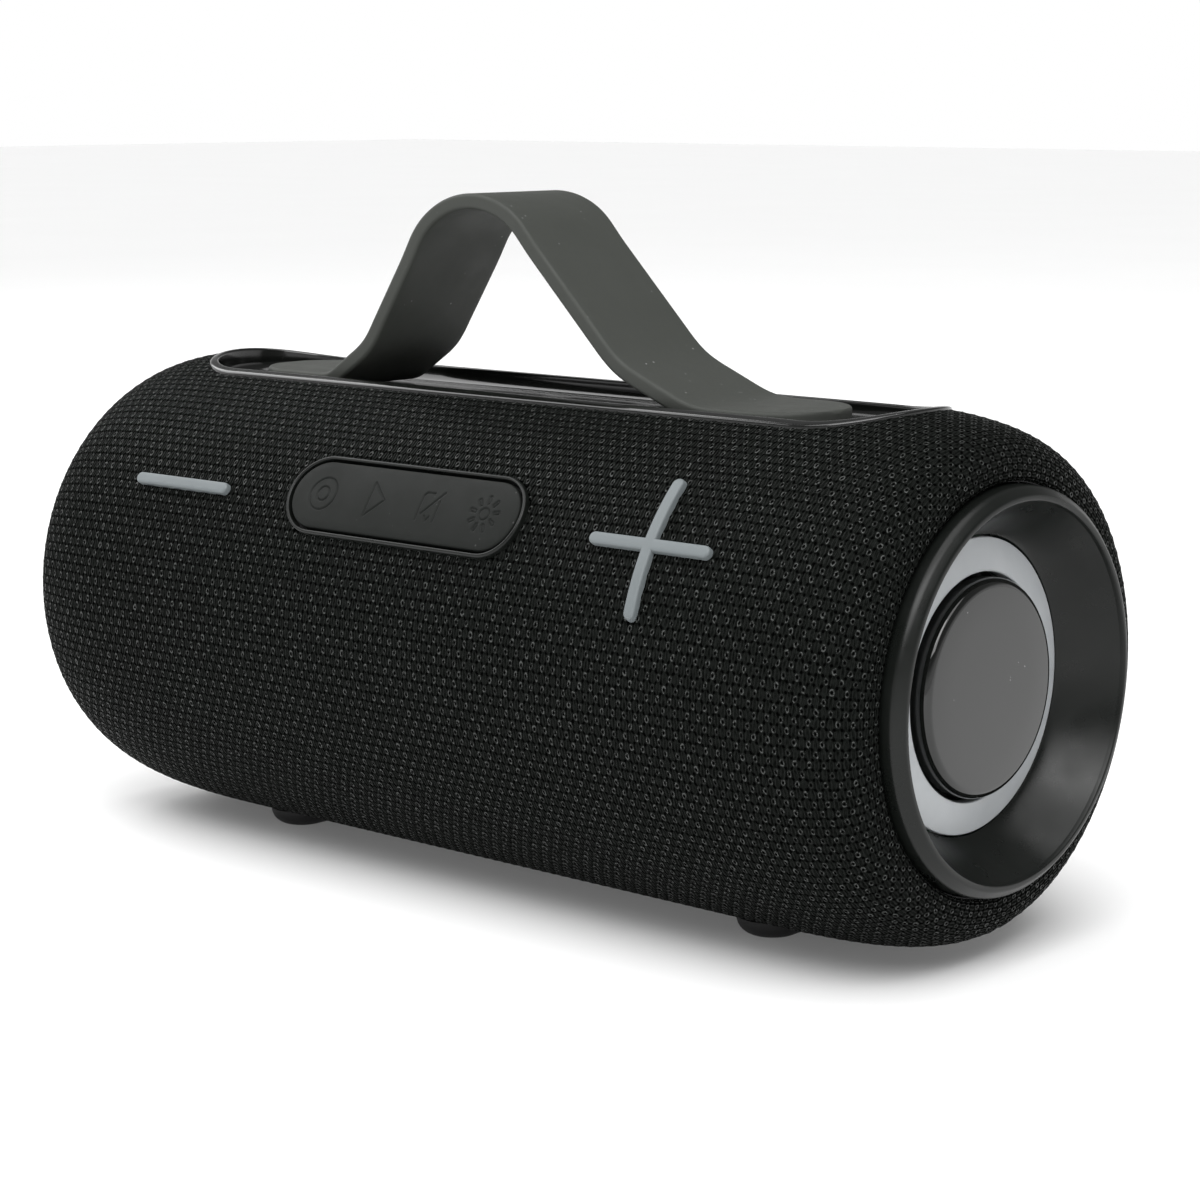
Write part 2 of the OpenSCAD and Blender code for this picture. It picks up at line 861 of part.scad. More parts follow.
usb_socket();
aux_socket();
port_panel();
port_flap();
strap_end_left();
strap_link(1);  // strap_link_1
strap_link(2);  // strap_link_2
strap_link(3);  // strap_link_3
strap_link(4);  // strap_link_4
strap_link(5);  // strap_link_5
strap_link(6);  // strap_link_6
strap_end_right();
strap_stud(left_stud_x);  // left_strap_stud
strap_stud(right_stud_x);  // right_strap_stud
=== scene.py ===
import json
import math

import bmesh
import bpy
import numpy as np
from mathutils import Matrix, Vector
from mathutils.geometry import delaunay_2d_cdt


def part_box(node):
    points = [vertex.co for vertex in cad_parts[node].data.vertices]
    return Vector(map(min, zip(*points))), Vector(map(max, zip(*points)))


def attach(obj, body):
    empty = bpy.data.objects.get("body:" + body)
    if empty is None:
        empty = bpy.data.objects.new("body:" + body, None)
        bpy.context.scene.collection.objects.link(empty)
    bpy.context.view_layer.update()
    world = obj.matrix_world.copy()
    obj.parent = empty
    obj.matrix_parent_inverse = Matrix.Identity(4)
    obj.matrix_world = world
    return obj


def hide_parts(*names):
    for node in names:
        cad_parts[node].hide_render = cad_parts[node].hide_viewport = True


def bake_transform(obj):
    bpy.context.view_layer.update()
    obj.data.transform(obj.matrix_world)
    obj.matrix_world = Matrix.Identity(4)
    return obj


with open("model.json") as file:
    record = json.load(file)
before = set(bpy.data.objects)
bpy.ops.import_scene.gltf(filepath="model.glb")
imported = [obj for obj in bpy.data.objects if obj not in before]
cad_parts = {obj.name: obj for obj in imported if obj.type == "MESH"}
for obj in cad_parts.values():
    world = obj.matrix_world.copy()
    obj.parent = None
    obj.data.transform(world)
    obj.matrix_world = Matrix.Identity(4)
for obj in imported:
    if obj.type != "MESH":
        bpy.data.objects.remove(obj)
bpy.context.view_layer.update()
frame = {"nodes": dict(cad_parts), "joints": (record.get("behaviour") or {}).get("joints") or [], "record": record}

# ---------------------------------------------------------------- sizes
# Lengths are in millimetres in the row frame, and every piece is built in them and scaled once to metres.
MM = 0.001
sleeve_low, sleeve_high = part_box("fabric_sleeve")
BODY_R = sleeve_high.y / MM
AXIS_Z = sleeve_low.z / MM + BODY_R
HALF_LEN = sleeve_high.x / MM
SHOULDER_LEN = 44.25
SHOULDER_DROP = 11.46
SHOULDER_POWER = 3.29
AXIS = np.array([0.0, 0.0, AXIS_Z])

KEYPAD_TILT = 56.3
VOLUME_TILT = 58.2
REAR_TILT = -90.0
KEY_PITCH = 13.8
KEY_R = 5.695
KEY_HOLE_R = 5.700
KEYPAD_R = 8.2
KEYPAD_STRAIGHT = 29.85 - KEYPAD_R
BAR_R = 1.15
BAR_STRAIGHT = 13.3 - BAR_R
VOLUME_X = 60.0

TRAY_R = 18.0
TRAY_STRAIGHT = 71.0
POCKET_R = 15.6
POCKET_STRAIGHT = 71.9
TUB_R = 17.2
TRAY_FLOOR = 42.7
TUB_BOTTOM = 40.9

PORT_STRAIGHT = 15.6
PORT_R = 7.5
FOOT_X = 62.0
FOOT_STRAIGHT = 9.0

WALES = 2.5
COURSES = 162
SEAM_TURN = 185.0
TUCK_R = 36.4

STRAP_W = 25.6
STRAP_T = 3.0
STRAP_EDGE = 0.8
STRAP_TURNS = [34.0, 23.0, -34.0, -34.0, -34.0, 22.5, 22.5]
STRAP_LINKS = [25.3, 13.3, 29.9, 11.0, 11.0, 38.808, 19.0, 23.8]
STRAP_EASE = [4.5, 6.5, 5.5, 5.5, 5.5, 8.0, 8.0]
STRAP_PUSH = 0.36
CROWN_LIFT = 0.41
# The visible tray floor lies lower than the CAD's by this, so that the stowed strap clears it
STOW_ROOM = 0.45

BEZEL_FOOT = 95.02
BEZEL_TIP = 108.4
BOWL_R = 26.45
BOWL_FOOT = 98.1
DISC_R = 19.3


# ---------------------------------------------------------------- camera
def add_camera(place, aim, lens):
    camera = bpy.data.objects.new("camera", bpy.data.cameras.new("camera"))
    bpy.context.scene.collection.objects.link(camera)
    camera.data.lens = lens
    camera.data.sensor_width = 36.0
    camera.location = place
    camera.rotation_mode = "QUATERNION"
    camera.rotation_quaternion = (Vector(aim) - Vector(place)).to_track_quat("-Z", "Y")
    bpy.context.scene.camera = camera


add_camera((0.37633, -0.41410, 0.15061), (0.00658, 0.00687, 0.05267), 87.68)


# ---------------------------------------------------------------- shader helper
class Shader:
    """A Principled material with short ways to add and join nodes."""

    def __init__(self, name):
        self.material = bpy.data.materials.new(name)
        self.material.use_nodes = True
        self.tree = self.material.node_tree
        self.tree.nodes.clear()
        self.bsdf = self.tree.nodes.new("ShaderNodeBsdfPrincipled")
        out = self.tree.nodes.new("ShaderNodeOutputMaterial")
        self.tree.links.new(self.bsdf.outputs[0], out.inputs["Surface"])

    def put(self, socket, value):
        if isinstance(value, bpy.types.NodeSocket):
            self.tree.links.new(value, socket)
        else:
            socket.default_value = value

    def base(self, **values):
        for name, value in values.items():
            self.put(self.bsdf.inputs[name.replace("_", " ")], value)

    def math(self, operation, a, b=0.0, c=0.0, clamp=False):
        n = self.tree.nodes.new("ShaderNodeMath")
        n.operation = operation
        n.use_clamp = clamp
        for socket, value in zip(n.inputs, (a, b, c)):
            self.put(socket, value)
        return n.outputs[0]

    def reach(self, x, y):
        """Distance of (x, y) from the origin."""
        squares = self.math("ADD", self.math("MULTIPLY", x, x), self.math("MULTIPLY", y, y))
        return self.math("SQRT", squares)

    def mix(self, factor, a, b):
        n = self.tree.nodes.new("ShaderNodeMix")
        n.data_type = "RGBA"
        self.put(n.inputs["Factor"], factor)
        self.put(n.inputs[6], (*a, 1.0) if isinstance(a, tuple) else a)
        self.put(n.inputs[7], (*b, 1.0) if isinstance(b, tuple) else b)
        return n.outputs[2]

    def span(self, value, low, high, to_low=0.0, to_high=1.0):
        n = self.tree.nodes.new("ShaderNodeMapRange")
        n.interpolation_type = "SMOOTHSTEP"
        for socket, v in zip(n.inputs, (value, low, high, to_low, to_high)):
            self.put(socket, v)
        return n.outputs[0]

    def place(self, stretch=(1.0, 1.0, 1.0)):
        coords = self.tree.nodes.new("ShaderNodeTexCoord")
        mapping = self.tree.nodes.new("ShaderNodeMapping")
        self.tree.links.new(coords.outputs["Object"], mapping.inputs["Vector"])
        mapping.inputs["Scale"].default_value = stretch
        return mapping.outputs[0]

    def noise(self, vector, scale, detail=2.0, rough=0.5):
        n = self.tree.nodes.new("ShaderNodeTexNoise")
        self.put(n.inputs["Vector"], vector)
        n.inputs["Scale"].default_value = scale
        n.inputs["Detail"].default_value = detail
        n.inputs["Roughness"].default_value = rough
        return n.outputs["Fac"]

    def cells(self, vector, scale, feature="F1"):
        n = self.tree.nodes.new("ShaderNodeTexVoronoi")
        n.feature = feature
        self.put(n.inputs["Vector"], vector)
        n.inputs["Scale"].default_value = scale
        return n.outputs["Distance"]

    def bump(self, height, strength, distance, under=None):
        n = self.tree.nodes.new("ShaderNodeBump")
        n.inputs["Strength"].default_value = strength
        n.inputs["Distance"].default_value = distance
        self.put(n.inputs["Height"], height)
        if under is not None:
            self.put(n.inputs["Normal"], under)
        return n.outputs[0]

    def normal(self, socket):
        self.put(self.bsdf.inputs["Normal"], socket)


def shade(colour, factor):
    return tuple(c * factor for c in colour)


def moulded(name, colour, rough, grain_mm, relief, vary=0.12, rough_vary=0.06, dust=0.0, **base):
    """Moulded plastic or rubber: fine grain, slow colour drift, uneven polish and perhaps a little dust."""
    s = Shader(name)
    place = s.place()
    drift = s.noise(place, 55.0, 3.0)
    tint = s.mix(drift, shade(colour, 1.0 - vary), shade(colour, 1.0 + vary))
    if dust:
        speck = s.span(s.cells(place, 620.0), 0.16, 0.05)
        rare = s.span(s.noise(place, 150.0, 1.0), 0.6, 0.7)
        tint = s.mix(s.math("MULTIPLY", s.math("MULTIPLY", speck, rare), dust), tint, (0.4, 0.4, 0.4))
    smear = s.noise(place, 130.0, 4.0, 0.6)
    polish = s.span(smear, 0.25, 0.75, rough - rough_vary, rough + rough_vary)
    s.base(Base_Color=tint, Roughness=polish, **base)
    s.normal(s.bump(s.noise(place, 1.0 / (grain_mm * MM), 2.0, 0.6), relief, 0.0001))
    return s.material


def knit():
    """Raised loops in a quincunx over a ground in painted shade, with fine yarn strands, slow changes of tone and
    painted glints.
    """
    s = Shader("knit_fabric")
    uv = s.tree.nodes.new("ShaderNodeUVMap")
    uv.uv_map = "knit"
    split = s.tree.nodes.new("ShaderNodeSeparateXYZ")
    s.tree.links.new(uv.outputs[0], split.inputs[0])
    place = s.place()
    sway = s.math("MULTIPLY", s.math("SUBTRACT", s.noise(place, 420.0, 2.0), 0.5), 0.30)
    u = s.math("ADD", split.outputs[0], sway)
    v = s.math("ADD", split.outputs[1], s.math("MULTIPLY", sway, 0.6))
    row = s.math("FLOOR", s.math("ADD", v, 0.5))
    across = s.math("SUBTRACT", s.math("FRACT", s.math("ADD", v, 0.5)), 0.5)
    shift = s.math("MULTIPLY", s.math("FLOORED_MODULO", row, 2.0), 0.5)
    along = s.math("SUBTRACT", s.math("FRACT", s.math("ADD", s.math("ADD", u, shift), 0.5)), 0.5)
    # The loop: an oval ring about each lattice point
    loop_x = s.math("MULTIPLY", along, WALES / 0.47)
    loop_y = s.math("MULTIPLY", across, 1.86 / 0.73)
    reach = s.reach(loop_x, loop_y)
    ring = s.span(s.math("ABSOLUTE", s.math("SUBTRACT", reach, 0.72)), 0.46, 0.06)
    core = s.span(reach, 0.50, 0.15)
    # The legs: slimmer, lower yarns half a pitch along
    leg = s.math("SUBTRACT", 0.5, s.math("ABSOLUTE", along))
    leg_ring = s.span(s.math("ABSOLUTE", s.math("SUBTRACT", s.math("MULTIPLY", leg, WALES), 0.34)), 0.26, 0.0)
    leg_fade = s.span(s.math("ABSOLUTE", across), 0.5, 0.2, 0.25, 0.6)
    height = s.math("MAXIMUM", ring, s.math("MULTIPLY", leg_ring, leg_fade))
    # The holes: pits between each loop and its neighbours; with the loops' cores they get a near-black painted
    # shade
    pit_x = s.math("MULTIPLY", s.math("SUBTRACT", s.math("ABSOLUTE", along), 0.25), WALES / 0.36)
    pit_y = s.math("MULTIPLY", s.math("SUBTRACT", 0.5, s.math("ABSOLUTE", across)), 1.86 / 0.42)
    pit = s.reach(pit_x, pit_y)
    shaded_pit = s.math("MAXIMUM", s.span(pit, 1.0, 0.35), core)
    strand = s.noise(place, 5200.0, 2.0, 0.7)
    tone = s.noise(place, 28.0, 3.0)
    ply = s.tree.nodes.new("ShaderNodeCombineXYZ")
    s.put(ply.inputs[0], s.math("MULTIPLY", u, 7.0))
    s.put(ply.inputs[1], s.math("MULTIPLY", v, 1.3))
    streak = s.span(s.noise(ply.outputs[0], 1.0, 2.0, 0.6), 0.3, 0.7)
    yarn = s.mix(strand, (0.0049, 0.0055, 0.0049), (0.0174, 0.0192, 0.0176))
    ground = s.mix(streak, (0.0017, 0.0020, 0.0017), (0.0096, 0.0108, 0.0098))
    # Painted shade: the ground between the loops is darker than the raised yarn, and the pits and cores are darker
    # still
    cover = s.math("MULTIPLY", height, s.span(tone, 0.3, 0.7, 0.75, 1.0))
    body = s.mix(shaded_pit, s.mix(cover, ground, yarn), (0.0006, 0.0006, 0.0006))
    # Painted glints: a pale colour on the loops where a strand lies bare, standing in for the yarn's highlights
    glint_spots = s.span(s.noise(place, 1700.0, 2.0, 0.6), 0.47, 0.63)
    painted_glint = s.math("MULTIPLY", s.math("MULTIPLY", ring, ring), glint_spots)
    painted_glint_colour = s.mix(s.math("MULTIPLY", painted_glint, 0.42), body, (0.082, 0.090, 0.084))
    gleam = s.math("ADD", s.math("MULTIPLY", painted_glint, 0.40), s.math("MULTIPLY", height, 0.07))
    s.base(Base_Color=painted_glint_colour, Roughness=s.span(strand, 0.3, 0.7, 0.38, 0.60), Specular_IOR_Level=gleam)
    height = s.math("SUBTRACT", height, s.math("MULTIPLY", shaded_pit, 0.8))
    deep = s.bump(height, 0.9, 0.00035)
    s.normal(s.bump(strand, 0.35, 0.00008, deep))
    return s.material


def board():
    """Green solder mask with darker traces and pale pads."""
    s = Shader("circuit_board")
    place = s.place()
    trace = s.span(s.cells(place, 330.0, "DISTANCE_TO_EDGE"), 0.03, 0.06)
    pad = s.span(s.cells(place, 420.0), 0.13, 0.10)
    mask = s.mix(trace, (0.03, 0.16, 0.07), (0.012, 0.09, 0.035))
    s.base(Base_Color=s.mix(pad, mask, (0.5, 0.48, 0.4)), Roughness=s.span(trace, 0.0, 1.0, 0.3, 0.42))
    s.normal(s.bump(trace, 0.3, 0.00005))
    return s.material


def metal(name, colour, rough, grain, stretch):
    """Bare metal with fine drawn or wound lines."""
    s = Shader(name)
    lines = s.noise(s.place(stretch), grain, 3.0, 0.7)
    s.base(Base_Color=s.mix(lines, shade(colour, 0.8), colour), Metallic=1.0)
    s.base(Roughness=s.span(lines, 0.3, 0.7, rough, rough + 0.18))
    s.normal(s.bump(lines, 0.25, 0.00004))
    return s.material


def turned(name, colour, rough, **base):
    """Satin plastic with rings about the body's axis, so fine that they only stretch the highlight."""
    s = Shader(name)
    place = s.place()
    split = s.tree.nodes.new("ShaderNodeSeparateXYZ")
    s.tree.links.new(place, split.inputs[0])
    up = s.math("SUBTRACT", split.outputs[2], AXIS_Z * MM)
    radius = s.reach(split.outputs[1], up)
    rings = s.tree.nodes.new("ShaderNodeTexNoise")
    rings.noise_dimensions = "1D"
    s.put(rings.inputs["W"], radius)
    rings.inputs["Scale"].default_value = 5200.0
    rings.inputs["Detail"].default_value = 2.0
    drift = s.noise(place, 60.0, 3.0)
    smear = s.noise(place, 160.0, 4.0)
    s.base(Base_Color=s.mix(drift, shade(colour, 0.88), shade(colour, 1.12)))
    s.base(Roughness=s.span(smear, 0.25, 0.75, rough - 0.05, rough + 0.07), **base)
    grain = s.bump(s.noise(place, 4200.0, 2.0, 0.6), 0.10, 0.00006)
    s.normal(s.bump(rings.outputs["Fac"], 0.10, 0.00003, grain))
    return s.material


def gloss(name, colour, rough, **base):
    """Polished plastic with faint wipe marks, a trace of orange peel and a few dust specks."""
    s = Shader(name)
    place = s.place()
    wipe = s.noise(s.place((1.0, 4.0, 1.0)), 90.0, 5.0, 0.65)
    speck = s.span(s.cells(place, 520.0), 0.10, 0.03)
    rare = s.span(s.noise(place, 110.0, 1.0), 0.62, 0.70)
    dust = s.math("MULTIPLY", speck, rare)
    s.base(Base_Color=s.mix(dust, s.mix(wipe, shade(colour, 0.8), shade(colour, 1.25)), (0.3, 0.3, 0.3)))
    smeared = s.span(wipe, 0.45, 0.8, rough, rough + 0.09)
    s.base(Roughness=s.math("ADD", smeared, s.math("MULTIPLY", dust, 0.5)))
    s.base(**base)
    s.normal(s.bump(s.noise(place, 210.0, 1.0), 0.03, 0.0002))
    return s.material


def diffuser():
    """Milky light guide: soft mottling inside and a satin polish."""
    s = Shader("light_diffuser")
    place = s.place()
    cloud = s.noise(place, 95.0, 4.0, 0.6)
    s.base(Base_Color=s.mix(cloud, (0.40, 0.42, 0.435), (0.52, 0.54, 0.555)))
    s.base(Roughness=s.span(s.noise(place, 240.0, 3.0), 0.3, 0.7, 0.28, 0.36))
    s.base(Subsurface_Weight=0.25, Subsurface_Radius=(0.9, 0.95, 1.0), Subsurface_Scale=0.0012)
    s.normal(s.bump(s.noise(place, 1400.0, 2.0), 0.08, 0.00008))
    return s.material


MATERIALS = {
    "housing_plastic": moulded("housing_plastic", (0.020, 0.020, 0.021), 0.50, 0.35, 0.25),
    "knit_fabric": knit(),
    "tray_gloss": gloss("tray_gloss", (0.0040, 0.0044, 0.0040), 0.14, Coat_Weight=0.3, Coat_Roughness=0.12),
    "steel": metal("steel", (0.55, 0.55, 0.56), 0.25, 900.0, (1.0, 6.0, 6.0)),
    "soft_rubber": moulded("soft_rubber", (0.010, 0.010, 0.0105), 0.62, 0.22, 0.30),
    "bezel_satin": turned("bezel_satin", (0.0052, 0.0062, 0.0054), 0.30, Specular_IOR_Level=0.26),
    "light_diffuser": diffuser(),
    "circuit_board": board(),
    "radiator_gloss": gloss(
        "radiator_gloss", (0.0050, 0.0056, 0.0050), 0.05, Coat_Weight=0.22, Coat_Roughness=0.03
    ),
    "keypad_silicone": moulded(
        "keypad_silicone", (0.0084, 0.0096, 0.0086), 0.60, 0.12, 0.18,
        vary=0.07, dust=0.15, Specular_IOR_Level=0.15,
    ),
    "volume_grey": moulded("volume_grey", (0.140, 0.158, 0.164), 0.55, 0.10, 0.16, vary=0.05),
    "strap_silicone": moulded(
        "strap_silicone", (0.041, 0.044, 0.039), 0.60, 0.10, 0.20,
        vary=0.06, dust=0.55, Specular_IOR_Level=0.30,
    ),
    "cone_paper": moulded("cone_paper", (0.020, 0.020, 0.019), 0.80, 0.5, 0.6, vary=0.25),
    "coil_copper": metal("coil_copper", (0.75, 0.38, 0.18), 0.30, 1600.0, (1.0, 8.0, 1.0)),
    "battery_wrap": moulded("battery_wrap", (0.03, 0.12, 0.36), 0.30, 1.5, 0.15),
    "switch_body": moulded("switch_body", (0.22, 0.22, 0.22), 0.40, 0.3, 0.2),
}


# ---------------------------------------------------------------- shape helpers
def barrel_radius(x, inset=0.0):
    """Radius of the body at x, for a surface this far inside the sleeve."""
    depth = np.clip((np.abs(x) - (HALF_LEN - SHOULDER_LEN)) / (SHOULDER_LEN - inset), 0.0, 1.0)
    drop = 1.0 - (1.0 - depth**SHOULDER_POWER) ** (1.0 / SHOULDER_POWER)
    return BODY_R - inset - (SHOULDER_DROP - inset) * drop


def tilted(tilt):
    """The crosswise and outward directions of a patch at this angle from the top of the body."""
    a = math.radians(tilt)
    return np.array([0.0, math.cos(a), math.sin(a)]), np.array([0.0, -math.sin(a), math.cos(a)])


def on_body(tilt, flat, inset=0.0, centre=0.0):
    """Points over the body's surface for (along, crosswise) pairs, as deep as inset says."""
    flat = np.asarray(flat, float)
    across, out = tilted(tilt)
    x = flat[:, 0] + centre
    height = np.sqrt(barrel_radius(x, inset) ** 2 - flat[:, 1] ** 2)
    return AXIS + np.outer(x, [1, 0, 0]) + np.outer(flat[:, 1], across) + np.outer(height, out)


def at_height(tilt, flat, height, centre=0.0):
    flat = np.asarray(flat, float)
    across, out = tilted(tilt)
    return AXIS + np.outer(flat[:, 0] + centre, [1, 0, 0]) + np.outer(flat[:, 1], across) + height * out


def stadium(straight, r, arc=28, run=40):
    """Outline with round ends along x, with the same number of points for any radius."""
    t = np.linspace(-math.pi / 2, math.pi / 2, arc + 1)
    right = np.stack([straight + r * np.cos(t), r * np.sin(t)], 1)
    x = np.linspace(straight, -straight, run + 1)[1:-1]
    top = np.stack([x, np.full_like(x, r)], 1)
    return np.concatenate([right, top, -right, -top])


def circle(r, count=96):
    t = np.linspace(0.0, 2 * math.pi, count, endpoint=False)
    return np.stack([r * np.cos(t), r * np.sin(t)], 1)


def cross(straight, r, arc=10, run=22):
    """Outline of two crossed bars with round ends."""
    t = np.linspace(-math.pi / 2, math.pi / 2, arc + 1)
    cap = np.stack([straight + r * np.cos(t), r * np.sin(t)], 1)
    s = np.linspace(0.0, 1.0, run + 1)[1:, None]
    side_out = cap[-1] + s * (np.array([r, r]) - cap[-1])
    next_cap = np.array([r, straight])
    side_in = np.array([r, r]) + s[:-1] * (next_cap - np.array([r, r]))
    arm = np.concatenate([cap, side_out, side_in])
    arms = []
    for k in range(4):
        a = k * math.pi / 2
        turn = np.array([[math.cos(a), math.sin(a)], [-math.sin(a), math.cos(a)]])
        arms.append(arm @ turn)
    return np.concatenate(arms)


def inside(flat, straight, r):
    """True where a point lies in a stadium."""
    x = np.abs(flat[:, 0]) - straight
    return np.hypot(np.maximum(x, 0.0), flat[:, 1]) < r


class Form:
    """Rings and patches that make one mesh."""

    def __init__(self):
        self.points, self.faces = [], []

    def ring(self, points):
        start = len(self.points)
        self.points.extend(tuple(map(float, p)) for p in points)
        return list(range(start, start + len(points)))

    def bridge(self, a, b):
        n = len(a)
        self.faces += [(a[i], a[(i + 1) % n], b[(i + 1) % n], b[i]) for i in range(n)]

    def loft(self, rings):
        made = [self.ring(r) for r in rings]
        for a, b in zip(made, made[1:]):
            self.bridge(a, b)
        return made

    def cap(self, ring):
        self.faces.append(tuple(ring))

    def fill(self, loops, flats, lift, spacing):
        """Triangles between an outer loop and its holes, with inner points lifted on to the surface."""
        flat = np.concatenate(flats)
        edges, start = [], 0
        for f in flats:
            n = len(f)
            edges += [(start + i, start + (i + 1) % n) for i in range(n)]
            start += n
        low, high = flats[0].min(0), flats[0].max(0)
        gx, gy = np.meshgrid(np.arange(low[0], high[0], spacing), np.arange(low[1], high[1], spacing))
        grid = np.stack([gx.ravel(), gy.ravel()], 1)
        near = np.min([np.hypot(*(grid[:, None] - f[None]).transpose(2, 0, 1)).min(1) for f in flats], axis=0)
        keep = contains(flats[0], grid) & (near > 0.45 * spacing)
        for f in flats[1:]:
            keep &= ~contains(f, grid)
        grid = grid[keep]
        every = np.concatenate([flat, grid])
        out = delaunay_2d_cdt([Vector(p) for p in every], edges, [], 0, 1e-7)
        known = [i for loop in loops for i in loop] + self.ring(lift(grid))
        names = [known[o[0]] for o in out[3]]
        place = np.array([tuple(p) for p in out[0]])
        middles = np.array([place[list(f)].mean(0) for f in out[2]])
        good = contains(flats[0], middles)
        for f in flats[1:]:
            good &= ~contains(f, middles)
        self.faces += [tuple(names[i] for i in f) for f, g in zip(out[2], good) if g]

    def build(self, name, slot, body, replaces=(), sharp=38.0):
        mesh = bpy.data.meshes.new(name)
        mesh.from_pydata([tuple(c * MM for c in p) for p in self.points], [], self.faces)
        bm = bmesh.new()
        bm.from_mesh(mesh)
        bmesh.ops.remove_doubles(bm, verts=bm.verts, dist=1e-6)
        bmesh.ops.dissolve_degenerate(bm, edges=bm.edges, dist=1e-7)
        bmesh.ops.recalc_face_normals(bm, faces=bm.faces)
        for f in bm.faces:
            f.smooth = True
        for e in bm.edges:
            if len(e.link_faces) == 2 and e.calc_face_angle(0.0) > math.radians(sharp):
                e.smooth = False
        bm.to_mesh(mesh)
        bm.free()
        mesh.materials.append(MATERIALS[slot])
        piece = bpy.data.objects.new(name, mesh)
        bpy.context.scene.collection.objects.link(piece)
        if body:
            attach(piece, body)
        if replaces:
            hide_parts(*replaces)
        return piece


def contains(outline, points):
    """True for each point inside a closed outline."""
    x, y = points[:, 0][:, None], points[:, 1][:, None]
    x0, y0 = outline[:, 0][None], outline[:, 1][None]
    x1, y1 = np.roll(outline[:, 0], -1)[None], np.roll(outline[:, 1], -1)[None]
    crosses = (y0 > y) != (y1 > y)
    at = x0 + (y - y0) * (x1 - x0) / np.where(y1 == y0, 1e-12, y1 - y0)
    return (crosses & (x < at)).sum(1) % 2 == 1


def rounded(corners, radii, steps=6):
    """Closed outline with each corner rounded by its own radius."""
    corners = np.array(corners, float)
    out = []
    for i, (p, r) in enumerate(zip(corners, radii)):
        a, b = corners[i - 1] - p, corners[(i + 1) % len(corners)] - p
        la, lb = np.linalg.norm(a), np.linalg.norm(b)
        a, b = a / la, b / lb
        angle = math.acos(float(np.clip(a @ b, -1.0, 1.0)))
        if r <= 0 or angle > math.pi - 0.02:
            out.append(p)
            continue
        cut = min(r / math.tan(angle / 2), 0.45 * la, 0.45 * lb)
        r = cut * math.tan(angle / 2)
        centre = p + (a + b) / np.linalg.norm(a + b) * r / math.sin(angle / 2)
        start, end = p + a * cut - centre, p + b * cut - centre
        sweep = math.acos(float(np.clip(start @ end / (r * r), -1.0, 1.0)))
        for k in range(steps + 1):
            w = k / steps
            spoke = math.sin((1 - w) * sweep) * start + math.sin(w * sweep) * end
            out.append(centre + spoke / math.sin(sweep))
    return np.array(out)


def lathe(name, profile, side, slot, body, replaces, segments=192, sharp=38.0):
    """A closed outline of (radius, distance from the middle), turned about the body's axis at one end."""
    form = Form()
    turn = np.linspace(0.0, 2 * math.pi, segments, endpoint=False)
    rings = []
    for r, x in profile:
        if r < 1e-6:
            rings.append([form.ring([AXIS + [side * x, 0, 0]])[0]] * segments)
            continue
        points = np.stack([np.full(segments, side * x), r * np.cos(turn), r * np.sin(turn)], 1) + AXIS
        rings.append(form.ring(points))
    for a, b in zip(rings, rings[1:] + rings[:1]):
        for i in range(segments):
            j = (i + 1) % segments
            face = list(dict.fromkeys((a[i], a[j], b[j], b[i])))
            if len(face) > 2:
                form.faces.append(tuple(face))
    return form.build(name, slot, body, replaces, sharp)


